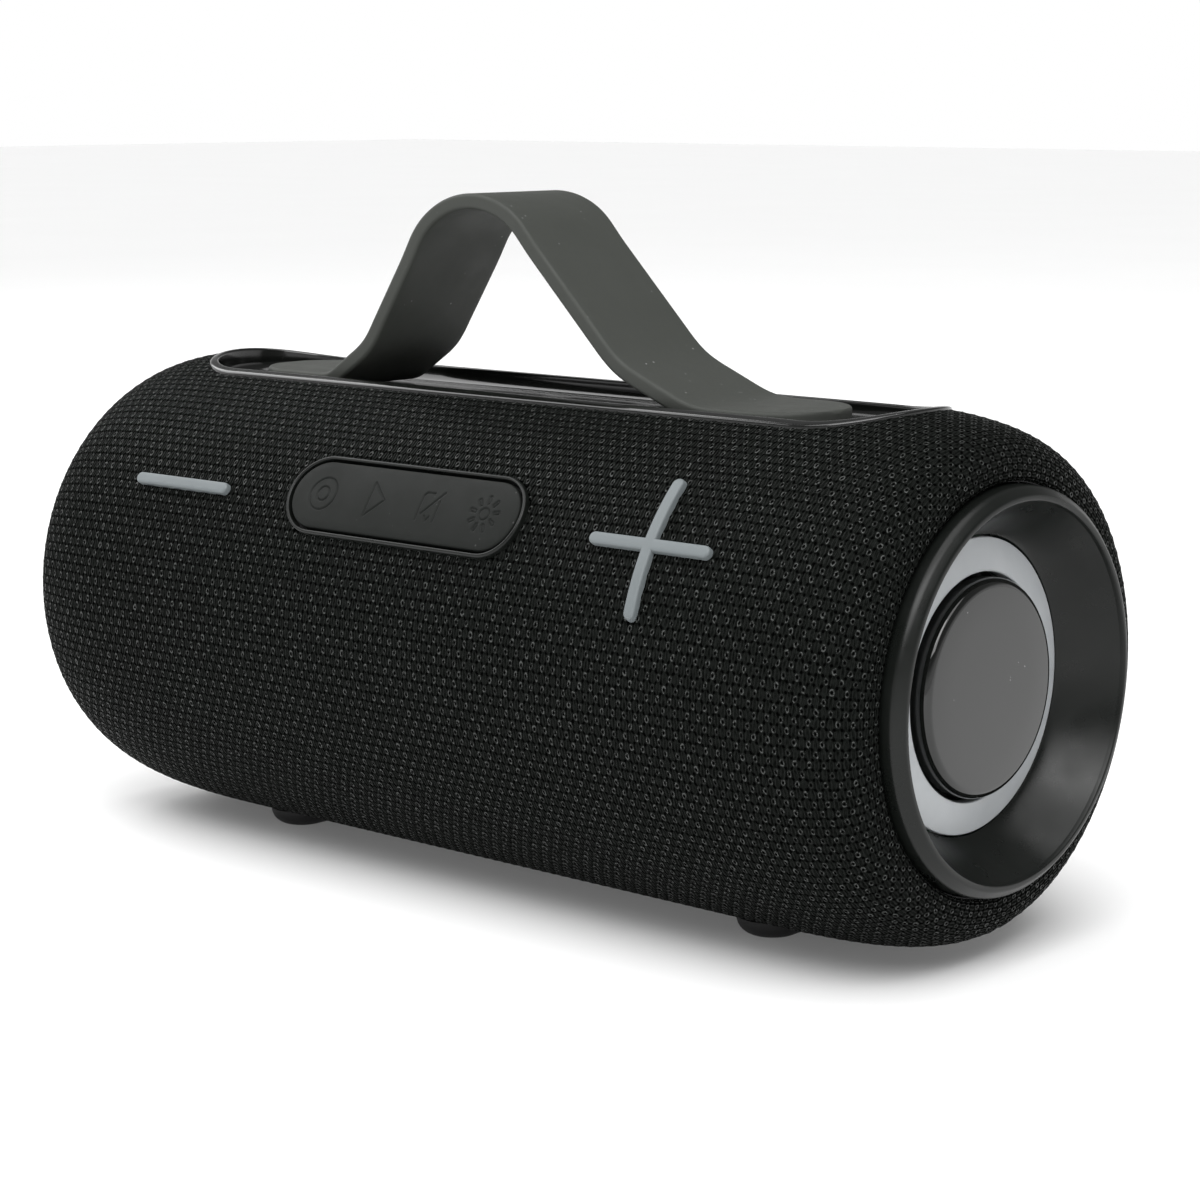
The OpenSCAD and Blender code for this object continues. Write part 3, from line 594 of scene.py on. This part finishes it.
# ---------------------------------------------------------------- knitted sleeve
def sleeve():
    """The knitted tube over the barrel, with loops in relief, tucked ends and cut edges."""
    # Outline from the middle to the end: straight, shoulder, and the tuck into the gap round the bezel
    steep = np.linspace(0.0, math.pi / 2, 400)
    curve_x = HALF_LEN - SHOULDER_LEN + SHOULDER_LEN * np.sin(steep) ** (2 / SHOULDER_POWER)
    curve_r = BODY_R - SHOULDER_DROP + SHOULDER_DROP * np.cos(steep) ** (2 / SHOULDER_POWER)
    tuck = [(HALF_LEN - 0.08, BODY_R - SHOULDER_DROP - 0.25), (HALF_LEN - 0.45, 36.06)]
    tuck += [(HALF_LEN - 3.0, 36.02)]
    path = np.concatenate([[[0.0, BODY_R]], np.stack([curve_x, curve_r], 1), tuck])
    length = np.concatenate([[0.0], np.cumsum(np.hypot(*np.diff(path, axis=0).T))])
    step = WALES / 3
    count = int(length[-1] / step)
    s = np.linspace(0.0, length[-1], count + 1)
    half = np.stack([np.interp(s, length, path[:, 0]), np.interp(s, length, path[:, 1])], 1)
    line = np.concatenate([half[:0:-1] * [-1, 1], half])
    along = np.concatenate([-s[:0:-1], s]) / WALES
    tangent = np.gradient(line, axis=0)
    normal = np.stack([-tangent[:, 1], tangent[:, 0]], 1)
    normal /= np.linalg.norm(normal, axis=1)[:, None]
    turns = COURSES * 2
    v = np.arange(turns) / 2.0
    phi = v / COURSES * 2 * math.pi
    # Relief: loops in a quincunx, fading out in the tuck, and the sewn seam along the underside
    relief = np.cos(2 * math.pi * along)[:, None] * np.cos(math.pi * v)[None]
    fade = np.clip((HALF_LEN + 0.3 - np.abs(line[:, 0])) / 2.0, 0.0, 1.0) * (line[:, 1] > TUCK_R)
    lift = 0.11 * relief * fade[:, None] - 0.12
    seam = (phi * BODY_R - math.radians(SEAM_TURN) * BODY_R + math.pi * BODY_R) % (2 * math.pi * BODY_R)
    seam = np.abs(seam - math.pi * BODY_R)
    furrow = 0.35 * np.exp(-((seam / 0.75) ** 2)) - 0.12 * np.exp(-(((seam - 2.0) / 0.9) ** 2))
    lift -= furrow[None] * fade[:, None]
    x = line[:, 0][:, None] + lift * normal[:, 0][:, None]
    r = line[:, 1][:, None] + lift * normal[:, 1][:, None]
    # phi runs from the top towards the front
    grid = np.stack([x, -r * np.sin(phi)[None], AXIS_Z + r * np.cos(phi)[None]], -1)
    rows, cols = grid.shape[:2]
    points = grid.reshape(-1, 3)
    # Openings
    gone = np.zeros(len(points), bool)

    def patch(tilt):
        across, out = tilted(tilt)
        p = points - AXIS
        return np.stack([p[:, 0], p @ across], 1), p @ out > 0

    flat, above = patch(0.0)
    gone |= above & inside(flat, TRAY_STRAIGHT, TUB_R)
    flat, above = patch(KEYPAD_TILT)
    gone |= above & inside(flat, KEYPAD_STRAIGHT, KEYPAD_R - 0.5)
    flat, above = patch(180.0)
    for side in (-1, 1):
        shifted = np.stack([flat[:, 1], flat[:, 0] - side * FOOT_X], 1)
        gone |= above & inside(shifted, FOOT_STRAIGHT, 5.6)
    flat, above = patch(REAR_TILT)
    near_port = above & inside(flat, PORT_STRAIGHT, PORT_R + 0.4)
    gone |= near_port
    index = np.arange(rows * cols).reshape(rows, cols)
    nxt = np.roll(index, -1, axis=1)
    quads = np.stack([index[:-1], nxt[:-1], nxt[1:], index[1:]], -1).reshape(-1, 4)
    keep = ~gone[quads].any(1)
    port_edge = (gone & near_port)[quads].any(1)
    # The rear port's edge is cut clean: the points next to it move on to the outline
    ring = np.unique(quads[port_edge].ravel())
    ring = ring[~gone[ring]]
    rel = flat[ring]
    core = np.stack([np.clip(rel[:, 0], -PORT_STRAIGHT, PORT_STRAIGHT), np.zeros(len(rel))], 1)
    away = rel - core
    target = core + away / np.linalg.norm(away, axis=1)[:, None] * (PORT_R + 0.4)
    points[ring] = on_body(REAR_TILT, target, 0.1)
    quads = quads[keep]
    used, new = np.unique(quads.ravel(), return_inverse=True)
    quads = new.reshape(-1, 4)
    kept = points[used]
    # UV: wales along the body and courses round it
    uv_u = np.repeat(along, cols)[used]
    uv_v = np.tile(v, rows)[used]
    mesh = bpy.data.meshes.new("knitted_sleeve")
    mesh.from_pydata((kept * MM).tolist(), [], quads.tolist())
    layer = mesh.uv_layers.new(name="knit")
    corner_u = uv_u[quads.ravel()]
    corner_v = uv_v[quads]
    wrap = corner_v.max(1) - corner_v.min(1) > COURSES / 2
    corner_v[wrap] = np.where(corner_v[wrap] < COURSES / 2, corner_v[wrap] + COURSES, corner_v[wrap])
    layer.data.foreach_set("uv", np.stack([corner_u, corner_v.ravel()], 1).astype(np.float32).ravel())
    # Every open edge turns inwards by the cloth's thickness
    bm = bmesh.new()
    bm.from_mesh(mesh)
    rim = [e for e in bm.edges if len(e.link_faces) == 1]
    made = bmesh.ops.extrude_edge_only(bm, edges=rim)
    for vert in (g for g in made["geom"] if isinstance(g, bmesh.types.BMVert)):
        inward = Vector((0.0, vert.co.y, vert.co.z - AXIS_Z * MM)).normalized()
        vert.co -= inward * 1.1 * MM
    for f in bm.faces:
        f.smooth = True
    for e in rim:
        if e.is_valid:
            e.smooth = False
    bm.to_mesh(mesh)
    bm.free()
    mesh.materials.append(MATERIALS["knit_fabric"])
    piece = bpy.data.objects.new("knitted_sleeve", mesh)
    bpy.context.scene.collection.objects.link(piece)
    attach(piece, "housing")
    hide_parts("fabric_sleeve")
    return piece


sleeve()


# ---------------------------------------------------------------- strap tray
def tray():
    """Gloss tray in the top, with its rim, its filleted pocket and the two slots for the strap's studs."""
    form = Form()
    skirt = [(TRAY_R, 0.9), (TRAY_R, -0.15), (TRAY_R - 0.08, -0.30), (TRAY_R - 0.26, -0.39)]
    top = [(TRAY_R - 0.7, -0.40), (POCKET_R + 1.0, -0.40), (POCKET_R + 0.55, -0.38)]
    lip = [(POCKET_R + 0.25, -0.26), (POCKET_R + 0.08, -0.08), (POCKET_R, 0.2)]

    def straight(r):
        w = np.clip((TRAY_R - r) / (TRAY_R - POCKET_R), 0.0, 1.0)
        return TRAY_STRAIGHT + w * (POCKET_STRAIGHT - TRAY_STRAIGHT)

    rings = [on_body(0.0, stadium(straight(r), r, run=90), inset) for r, inset in skirt + top + lip]
    wall = stadium(POCKET_STRAIGHT, POCKET_R, run=90)
    bend = 2.3
    floor = TRAY_FLOOR - STOW_ROOM
    rings.append(at_height(0.0, wall, floor + bend + 0.1))
    for k in range(9):
        a = k / 8 * math.pi / 2
        r = POCKET_R - bend * (1 - math.cos(a))
        rings.append(at_height(0.0, stadium(POCKET_STRAIGHT, r, run=90), floor + bend * (1 - math.sin(a))))
    made = form.loft(rings)
    floor_flat = stadium(POCKET_STRAIGHT, POCKET_R - bend, run=90)
    slots = []
    for left, right in ((-66.4, -52.8), (47.3, 65.6)):
        slots.append(stadium((right - left) / 2, 2.3, 12, 12) + [(left + right) / 2, 0.0])
    top_holes = [form.ring(at_height(0.0, f, floor)) for f in slots]
    low_holes = [form.ring(at_height(0.0, f, TUB_BOTTOM)) for f in slots]
    form.fill([made[-1], *top_holes], [floor_flat, *slots], lambda g: at_height(0.0, g, floor), 6.0)
    for a, b in zip(top_holes, low_holes):
        form.bridge(a, b)
    under = stadium(71.2, TUB_R, run=90)
    step_out = form.ring(on_body(0.0, stadium(71.2, TUB_R, run=90), 1.25))
    form.bridge(made[0], step_out)
    low = form.ring(at_height(0.0, under, TUB_BOTTOM))
    form.bridge(step_out, low)
    form.fill([low, *low_holes], [under, *slots], lambda g: at_height(0.0, g, TUB_BOTTOM), 6.0)
    return form.build("tray", "tray_gloss", "housing", ["strap_tray"])


tray()


# ---------------------------------------------------------------- keypad and volume buttons
def keypad_ring():
    """Raised lip round the keypad, with softened edges."""
    form = Form()
    lip = 0.75
    profile = [(0.0, 1.2), (0.0, -0.60), (0.05, -0.78), (0.16, -0.92), (0.32, -1.0), (0.47, -0.99)]
    profile += [(0.62, -0.91), (0.71, -0.77), (lip, -0.6), (lip, 1.2)]
    rings = [on_body(KEYPAD_TILT, stadium(KEYPAD_STRAIGHT, KEYPAD_R - d), inset) for d, inset in profile]
    made = form.loft(rings)
    form.bridge(made[-1], made[0])
    return form.build("keypad_ring", "bezel_satin", "housing", ["keypad_bezel"])


def keypad_face():
    """The membrane round the keys: a plate with four round openings."""
    form = Form()
    edge = KEYPAD_R - 1.3
    profile = [(0.0, 1.2), (0.0, -0.45), (0.07, -0.62), (0.20, -0.74), (0.40, -0.79)]
    made = form.loft([on_body(KEYPAD_TILT, stadium(KEYPAD_STRAIGHT, edge - d), i) for d, i in profile])
    flats = [stadium(KEYPAD_STRAIGHT, edge - 0.40)]
    holes = [circle(KEY_HOLE_R) + [k * KEY_PITCH, 0.0] for k in (-1.5, -0.5, 0.5, 1.5)]
    top = [form.ring(on_body(KEYPAD_TILT, f, -0.80)) for f in holes]
    low = [form.ring(on_body(KEYPAD_TILT, f, 1.2)) for f in holes]
    form.fill([made[-1], *top], flats + holes, lambda g: on_body(KEYPAD_TILT, g, -0.80), 1.2)
    for a, b in zip(top, low):
        form.bridge(a, b)
    base = [stadium(KEYPAD_STRAIGHT, edge)]
    form.fill([made[0], *low], base + holes, lambda g: on_body(KEYPAD_TILT, g, 1.2), 3.0)
    return form.build("keypad_face", "keypad_silicone", "housing", ["keypad_pad"])


def segment(p, a, b):
    """Distance from each point to a straight stroke."""
    a, b = np.array(a, float), np.array(b, float)
    d = b - a
    t = np.clip((p - a) @ d / (d @ d), 0.0, 1.0)
    return np.hypot(*(p - a - t[:, None] * d).T)


def strokes(kind, p):
    """Distance to the lines of a generic control symbol."""
    reach = np.hypot(*p.T)
    if kind == "power":
        return np.minimum(np.abs(reach - 3.3), np.abs(reach - 1.45))
    if kind == "play":
        tips = [(-1.6, -3.4), (2.3, 0.2), (-1.6, 3.5)]
        return np.min([segment(p, tips[i], tips[(i + 1) % 3]) for i in range(3)], axis=0)
    if kind == "pairing":
        a, b = 2.2, 2.8
        sides = [((-a, -b), (-a, b - 0.6)), ((-a, b - 0.6), (-a + 0.6, b))]
        sides += [((-a + 0.6, b), (0.3, b)), ((a, 1.3), (a, -b))]
        lines = [*sides, ((-1.3, -1.5), (2.7, 3.1)), ((-0.2, -1.9), (0.3, -b)), ((1.0, -1.9), (0.3, -b))]
        return np.min([segment(p, *line) for line in lines], axis=0)
    rays = [np.abs(reach - 1.15)]
    for k in range(9):
        a = math.radians(90.0 + 40.0 * k)
        d = np.array([math.cos(a), math.sin(a)])
        rays.append(np.abs(segment(p, d * 2.35, d * 3.35) - 0.28))
    return np.min(rays, axis=0)


def key(name, place, kind):
    """One round key of the membrane, with its symbol pressed into the top."""
    form = Form()
    rings = []
    for r, inset in ((KEY_R, 0.75), (KEY_R, -0.55), (KEY_R, -0.80)):
        rings.append(on_body(KEYPAD_TILT, circle(r, 150) + [place, 0.0], inset))
    for r in np.linspace(KEY_R, 0.0, 72)[1:-1]:
        flat = circle(r, 150)
        gap = strokes(kind, flat)
        wave = 0.24 * np.clip(1.0 - gap / 0.30, 0.0, 1.0)
        across, out = tilted(KEYPAD_TILT)
        rings.append(on_body(KEYPAD_TILT, flat + [place, 0.0], -0.80) - wave[:, None] * out)
    made = form.loft(rings)
    form.cap(made[-1])
    low = form.loft([on_body(KEYPAD_TILT, circle(r, 150) + [place, 0.0], 0.78) for r in (KEY_R - 0.1, 1.5)])
    form.bridge(made[0], low[0])
    tips = ((1.5, 43.9), (1.3, 43.6))
    stem = form.loft([at_height(KEYPAD_TILT, circle(r, 150) + [place, 0.0], h) for r, h in tips])
    form.bridge(low[1], stem[0])
    form.cap(stem[1])
    return form.build(f"{name}_cap", "keypad_silicone", name, [name], sharp=50.0)


def bar(name, outline, straight, centre):
    """A raised bar or cross with rounded edges, over its stem."""
    form = Form()
    profile = [(0.0, 0.6), (0.0, -0.75), (0.05, -0.93), (0.15, -1.07), (0.30, -1.16), (0.50, -1.20)]
    flats = [outline(straight, BAR_R - d) for d, _ in profile]
    made = form.loft([on_body(VOLUME_TILT, f, inset, centre) for f, (_, inset) in zip(flats, profile)])
    for ring, flat, inset in ((made[0], flats[0], 0.6), (made[-1], flats[-1], -1.22)):
        form.fill([ring], [flat], lambda g: on_body(VOLUME_TILT, g, inset, centre), 0.45)
    stem = form.loft([at_height(VOLUME_TILT, circle(1.0, 32) + [centre, 0.0], h) for h in (43.6, 47.0)])
    form.cap(stem[0])
    form.cap(stem[1])
    return form.build(name.replace("button", "bar"), "volume_grey", name, [name])


keypad_ring()
keypad_face()
for number, (key_name, symbol) in enumerate(
    (("power_key", "power"), ("play_key", "play"), ("pairing_key", "pairing"), ("light_key", "light"))
):
    key(key_name, (number - 1.5) * KEY_PITCH, symbol)
bar("minus_button", lambda s, r: stadium(s, r, 12, 30), BAR_STRAIGHT, -VOLUME_X)
bar("plus_button", cross, BAR_STRAIGHT, VOLUME_X)


# ---------------------------------------------------------------- ends
def ends(side, name):
    """Bezel, light guide and radiator disc of one end."""
    rise = BEZEL_TIP - 0.8 - BOWL_FOOT
    bowl = [(BOWL_R + 6.45 * k / 24, BOWL_FOOT + rise * (k / 24) ** 1.25) for k in range(1, 24)]
    outline = [(BOWL_R, BEZEL_FOOT), (BOWL_R, BOWL_FOOT), *bowl]
    radii = [0.0, 0.15, *[0.0] * len(bowl)]
    # The lip leans outwards, and the skirt behind it ends in a flange
    outline += [(32.9, 107.6), (33.15, BEZEL_TIP), (34.1, BEZEL_TIP), (35.7, 106.9)]
    outline += [(35.7, 97.02), (38.5, 97.02), (38.5, BEZEL_FOOT)]
    radii += [0.3, 0.35, 1.0, 1.8, 0.3, 0.5, 0.2]
    outline += [(33.5, BEZEL_FOOT), (33.5, 105.0), (31.2, 102.5), (28.65, BOWL_FOOT), (28.65, BEZEL_FOOT)]
    radii += [0.0, 0.8, 0.0, 0.0, 0.0]
    bezel = rounded(outline, radii)
    lathe(f"{name}_bezel_ring", bezel, side, "bezel_satin", "housing", [f"{name}_bezel"])
    ring = rounded([(20.1, 97.0), (20.1, 99.5), (26.05, 98.25), (26.05, 97.0)], [0, 0.3, 0.3, 0])
    lathe(f"{name}_light_guide", ring, side, "light_diffuser", "housing", [f"{name}_light_ring"])
    outline = [(0.0, 90.2), (13.4, 90.2), (13.4, 98.4), (DISC_R, 98.4), (DISC_R, 102.2)]
    outline += [(12.0, 102.28), (0.0, 102.3)]
    disc = rounded(outline, [0, 0.3, 0.3, 0.3, 3.0, 0, 0], 12)
    body = f"{name}_radiator"
    lathe(f"{name}_disc", disc, side, "radiator_gloss", body, [body], sharp=50.0)


ends(-1, "left")
ends(1, "right")


# ---------------------------------------------------------------- feet and rear port
def foot_pair():
    """Two domed rubber bars across the body, each with a shallow dimple underneath."""
    form = Form()
    for side in (-1, 1):
        def outline(r, z):
            flat = stadium(FOOT_STRAIGHT, r, 24, 12)
            return np.stack([side * FOOT_X + flat[:, 1], flat[:, 0], np.full(len(flat), z)], 1)

        rings = [outline(6.5, 3.4)]
        for k in range(9):
            a = k / 8 * math.pi / 2
            rings.append(outline(6.5 - 3.4 * (1 - math.cos(a)), 3.2 - 3.2 * math.sin(a)))
        rings += [outline(2.2, 0.0), outline(1.9, 0.22), outline(0.4, 0.22)]
        made = form.loft([outline(0.4, 3.6)] + rings)
        form.cap(made[0])
        form.cap(made[-1])
    return form.build("rubber_feet", "soft_rubber", "housing", ["feet"])


def flap():
    """Rubber cover of the sockets, with a rounded edge, a finger scoop and its hinge bead."""
    form = Form()
    axis_y, axis_z, bead, clear = 46.3, -5.9, 1.3, 2.8

    def outline(d):
        flat = stadium(PORT_STRAIGHT, PORT_R - 0.3 - d, 30, 60)
        # The lower edge stops at the hinge line, and steps up beyond the bead's ends
        wide = np.abs(flat[:, 0]) > PORT_STRAIGHT + d * 0.2
        floor = np.where(wide, -axis_z - clear - d, -axis_z - d * 0.5)
        flat[:, 1] = np.minimum(flat[:, 1], floor)
        return flat

    profile = [(0.0, 0.55), (0.06, 0.32), (0.20, 0.14), (0.42, 0.05), (0.75, 0.02)]
    rings = [at_height(REAR_TILT, outline(0.0), 45.0)]
    rings += [on_body(REAR_TILT, outline(d), inset) for d, inset in profile]
    made = form.loft(rings)
    form.cap(made[0])

    def top(g):
        points = on_body(REAR_TILT, g, 0.02)
        scoop = np.hypot(g[:, 0] / 6.5, (g[:, 1] + 4.3) / 1.7)
        points[:, 1] -= 0.9 * np.clip(1.0 - scoop**2, 0.0, 1.0)
        return points

    form.fill([made[-1]], [outline(0.75)], top, 0.7)
    turn = np.linspace(0.0, 2 * math.pi, 32, endpoint=False)

    def bead_ring(x, r):
        return np.stack([np.full(32, x), axis_y + r * np.cos(turn), AXIS_Z + axis_z + r * np.sin(turn)], 1)

    tip = PORT_STRAIGHT
    stops = ((-tip, 0.9), (-tip + 0.4, bead), (tip - 0.4, bead), (tip, 0.9))
    bead_made = form.loft([bead_ring(x, r) for x, r in stops])
    form.cap(bead_made[0])
    form.cap(bead_made[-1])
    return form.build("port_cover", "soft_rubber", "port_flap", ["port_flap"])


foot_pair()
flap()


# ---------------------------------------------------------------- strap
def strap_bodies():
    return ["strap_end_left", *[f"strap_link_{i}" for i in range(1, 7)], "strap_end_right"]


def strap_hinges():
    """Where each bend of the strap turns, and the direction of the strap before and after it."""
    heads = np.radians(np.cumsum([0.0] + STRAP_TURNS))
    joints = {j["name"]: j for j in frame["joints"]}
    first = joints["strap_bend_1"]["pos_m"]
    spot = np.array([first[0] / MM, first[2] / MM - AXIS_Z])
    spots = [spot]
    for length, a in zip(STRAP_LINKS[1:7], heads[1:7]):
        spot = spot + length * np.array([math.cos(a), math.sin(a)])
        spots.append(spot)
    return spots, heads


def run_and_out(line):
    """Distance along a line of (x, z) points, and the unit vector that points outwards at each."""
    run = np.concatenate([[0.0], np.cumsum(np.hypot(*np.diff(line, axis=0).T))])
    tangent = np.gradient(line, run, axis=0)
    tangent /= np.linalg.norm(tangent, axis=1)[:, None]
    return run, np.stack([-tangent[:, 1], tangent[:, 0]], 1)


def strap_line():
    """The strap's middle line as (x, z) points, with the index at the middle of each link."""
    spots, heads = strap_hinges()
    line, cuts = [spots[0] - [STRAP_LINKS[0], 0.0]], []
    for i, (p, ease) in enumerate(zip(spots, STRAP_EASE)):
        a, b = heads[i], heads[i + 1]
        r = ease / math.tan(abs(b - a) / 2)
        sign = math.copysign(1.0, b - a)
        start = p - ease * np.array([math.cos(a), math.sin(a)])
        centre = start + sign * r * np.array([-math.sin(a), math.cos(a)])
        arc = [centre - sign * r * np.array([-math.sin(t), math.cos(t)]) for t in np.linspace(a, b, 17)]
        if i not in (2, 3, 4):
            # A little tighter than a plain arc, so that the slice comes out flat when it is bent straight
            push = STRAP_PUSH * sign * np.array([math.sin((a + b) / 2), -math.cos((a + b) / 2)])
            arc = [q + push * math.sin(math.pi * k / 16) ** 2 for k, q in enumerate(arc)]
        gap = np.linalg.norm(arc[0] - line[-1])
        extra = max(1, int(round(gap / 1.2)))
        run = [line[-1] + (arc[0] - line[-1]) * k / extra for k in range(1, extra)] if gap > 0.01 else []
        if i:
            cuts.append(len(line) - 1 + extra // 2)
        line += run + (arc if gap > 0.01 else arc[1:])
    tail = spots[-1] + [STRAP_LINKS[7], 0.0]
    extra = int(round((tail[0] - line[-1][0]) / 1.2))
    last = line[-1]
    line += [last + (tail - last) * k / extra for k in range(1, extra + 1)]
    line = np.array(line)
    # The crown rides a little outside its bends, so that it lies flat when the strap is pushed down
    run, out = run_and_out(line)
    place = [run[np.argmin(np.hypot(*(line - s).T))] for s in spots]
    lift = np.clip((run - place[2] + 11.0) / 11.0, 0, 1) * np.clip((place[4] + 11.0 - run) / 11.0, 0, 1)
    line = line + out * (CROWN_LIFT * lift * lift * (3 - 2 * lift))[:, None]
    return line, cuts


def strap():
    """One moulded band, cut across each link into slices."""
    line, cuts = strap_line()
    run, out = run_and_out(line)
    radius = STRAP_W / 2

    def section(s):
        """Outline of the band at this distance along it: flat faces, rounded edges, and half-round ends."""
        reach = min(s, run[-1] - s)
        half_w = radius if reach >= radius else math.sqrt(radius**2 - (radius - reach) ** 2)
        # Towards the very tip the rounding of the edge is met nearly end on, so both halves close in together
        half_t = STRAP_T / 2
        soft = min(STRAP_EDGE, half_w)
        end_in = min(1.0, reach / STRAP_EDGE)
        thin = half_t - STRAP_EDGE * (1.0 - math.sqrt(max(0.0, 1.0 - (1.0 - end_in) ** 2)))
        soft = min(soft, thin)
        half_w = max(half_w, soft + 0.05)
        shape = []
        for sx, sz, a0 in ((1, -1, -90), (1, 1, 0), (-1, 1, 90), (-1, -1, 180)):
            for k in range(7):
                a = math.radians(a0 + 15 * k)
                corner = sx * (half_w - soft), sz * (thin - soft)
                shape.append((corner[0] + soft * math.cos(a), corner[1] + soft * math.sin(a)))
            if sx == sz:
                n = 16
                ends_at = shape[-1][0]
                shape += [(ends_at - 2 * ends_at * j / n, sz * thin) for j in range(1, n)]
        shape = np.array(shape)
        p = np.array([np.interp(s, run, line[:, 0]), np.interp(s, run, line[:, 1])])
        up = np.array([np.interp(s, run, out[:, 0]), np.interp(s, run, out[:, 1])])
        up /= np.linalg.norm(up)
        at = p[None] + shape[:, 1][:, None] * up[None]
        return np.stack([at[:, 0], shape[:, 0], at[:, 1] + AXIS_Z], 1)

    tip = radius * (1.0 - np.cos(np.linspace(0.0, math.pi / 2, 26)))
    tip[0] = 0.03
    bounds = [0.0, *run[cuts], run[-1]]
    pieces = []
    for k in range(7):
        low, high = bounds[k], bounds[k + 1]
        stations = list(np.linspace(low, high, max(3, int((high - low) / 0.9))))
        if k == 0:
            stations = [*tip, *[s for s in stations if s > radius + 0.3]]
        if k == 6:
            stations = [*[s for s in stations if s < high - radius - 0.3], *(high - tip[::-1])]
        form = Form()
        made = form.loft([section(s) for s in stations])
        form.cap(made[0])
        form.cap(made[-1])
        pieces.append(form.build(f"strap_band_{k + 1}", "strap_silicone", None, sharp=48.0))
    return pieces


band = strap()
for k, piece in enumerate(band):
    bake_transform(piece)
    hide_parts(*strap_bodies()[k:k + 1 if k < 6 else k + 2])


# ---------------------------------------------------------------- carried-over CAD nodes
for part in frame["record"]["subparts"]:
    node = frame["nodes"][part["node"]]
    node.data.materials.clear()
    node.data.materials.append(MATERIALS[part["material_slot"]])


# ---------------------------------------------------------------- floor, light and air
def studio():
    """Pale floor, light walls, a broad ceiling light and two softboxes."""
    ground = Shader("studio_floor")
    place = ground.place()
    paper = ground.noise(place, 6.0, 3.0)
    ground.base(Base_Color=ground.mix(paper, (0.86, 0.86, 0.86), (0.89, 0.89, 0.89)), Roughness=0.75)
    ground.base(Emission_Color=(1.0, 1.0, 1.0, 1.0), Emission_Strength=0.10)
    mesh = bpy.data.meshes.new("floor")
    size = 6.0
    corners = [(-size, -size, 0), (size, -size, 0), (size, size, 0), (-size, size, 0)]
    mesh.from_pydata(corners, [], [(0, 1, 2, 3)])
    mesh.materials.append(ground.material)
    floor = bpy.data.objects.new("floor", mesh)
    bpy.context.scene.collection.objects.link(floor)
    # White walls round a darker ceiling
    world = bpy.data.worlds.new("studio")
    world.use_nodes = True
    tree = world.node_tree
    sky = tree.nodes["Background"]
    coords = tree.nodes.new("ShaderNodeTexCoord")
    split = tree.nodes.new("ShaderNodeSeparateXYZ")
    fall = tree.nodes.new("ShaderNodeMapRange")
    fall.interpolation_type = "SMOOTHSTEP"
    for socket, value in zip(list(fall.inputs)[1:5], (0.03, 0.36, 1.00, 0.20)):
        socket.default_value = value
    tree.links.new(coords.outputs["Generated"], split.inputs[0])
    tree.links.new(split.outputs[2], fall.inputs[0])
    tree.links.new(fall.outputs[0], sky.inputs[1])
    sky.inputs[0].default_value = (1.0, 1.0, 1.0, 1.0)
    bpy.context.scene.world = world
    sun = bpy.data.lights.new("ceiling_light", "SUN")
    sun.energy = 2.45
    sun.angle = math.radians(70.0)
    holder = bpy.data.objects.new("ceiling_light", sun)
    holder.rotation_euler = (math.radians(12.0), math.radians(8.0), 0.0)
    bpy.context.scene.collection.objects.link(holder)
    for name, place, aim, size, watts in (
        ("key_light", (0.50, -0.62, 0.85), (0.0, 0.0, 0.05), (0.95, 0.65), 7.5),
        ("left_light", (-1.00, -0.10, 0.80), (0.0, 0.0, 0.05), (1.2, 0.8), 8.0),
    ):
        lamp = bpy.data.lights.new(name, "AREA")
        lamp.shape = "RECTANGLE"
        lamp.size, lamp.size_y = size
        lamp.energy = watts
        holder = bpy.data.objects.new(name, lamp)
        holder.location = place
        holder.rotation_mode = "QUATERNION"
        holder.rotation_quaternion = (Vector(aim) - Vector(place)).to_track_quat("-Z", "Y")
        bpy.context.scene.collection.objects.link(holder)
    bpy.context.scene.view_settings.view_transform = "Standard"


studio()
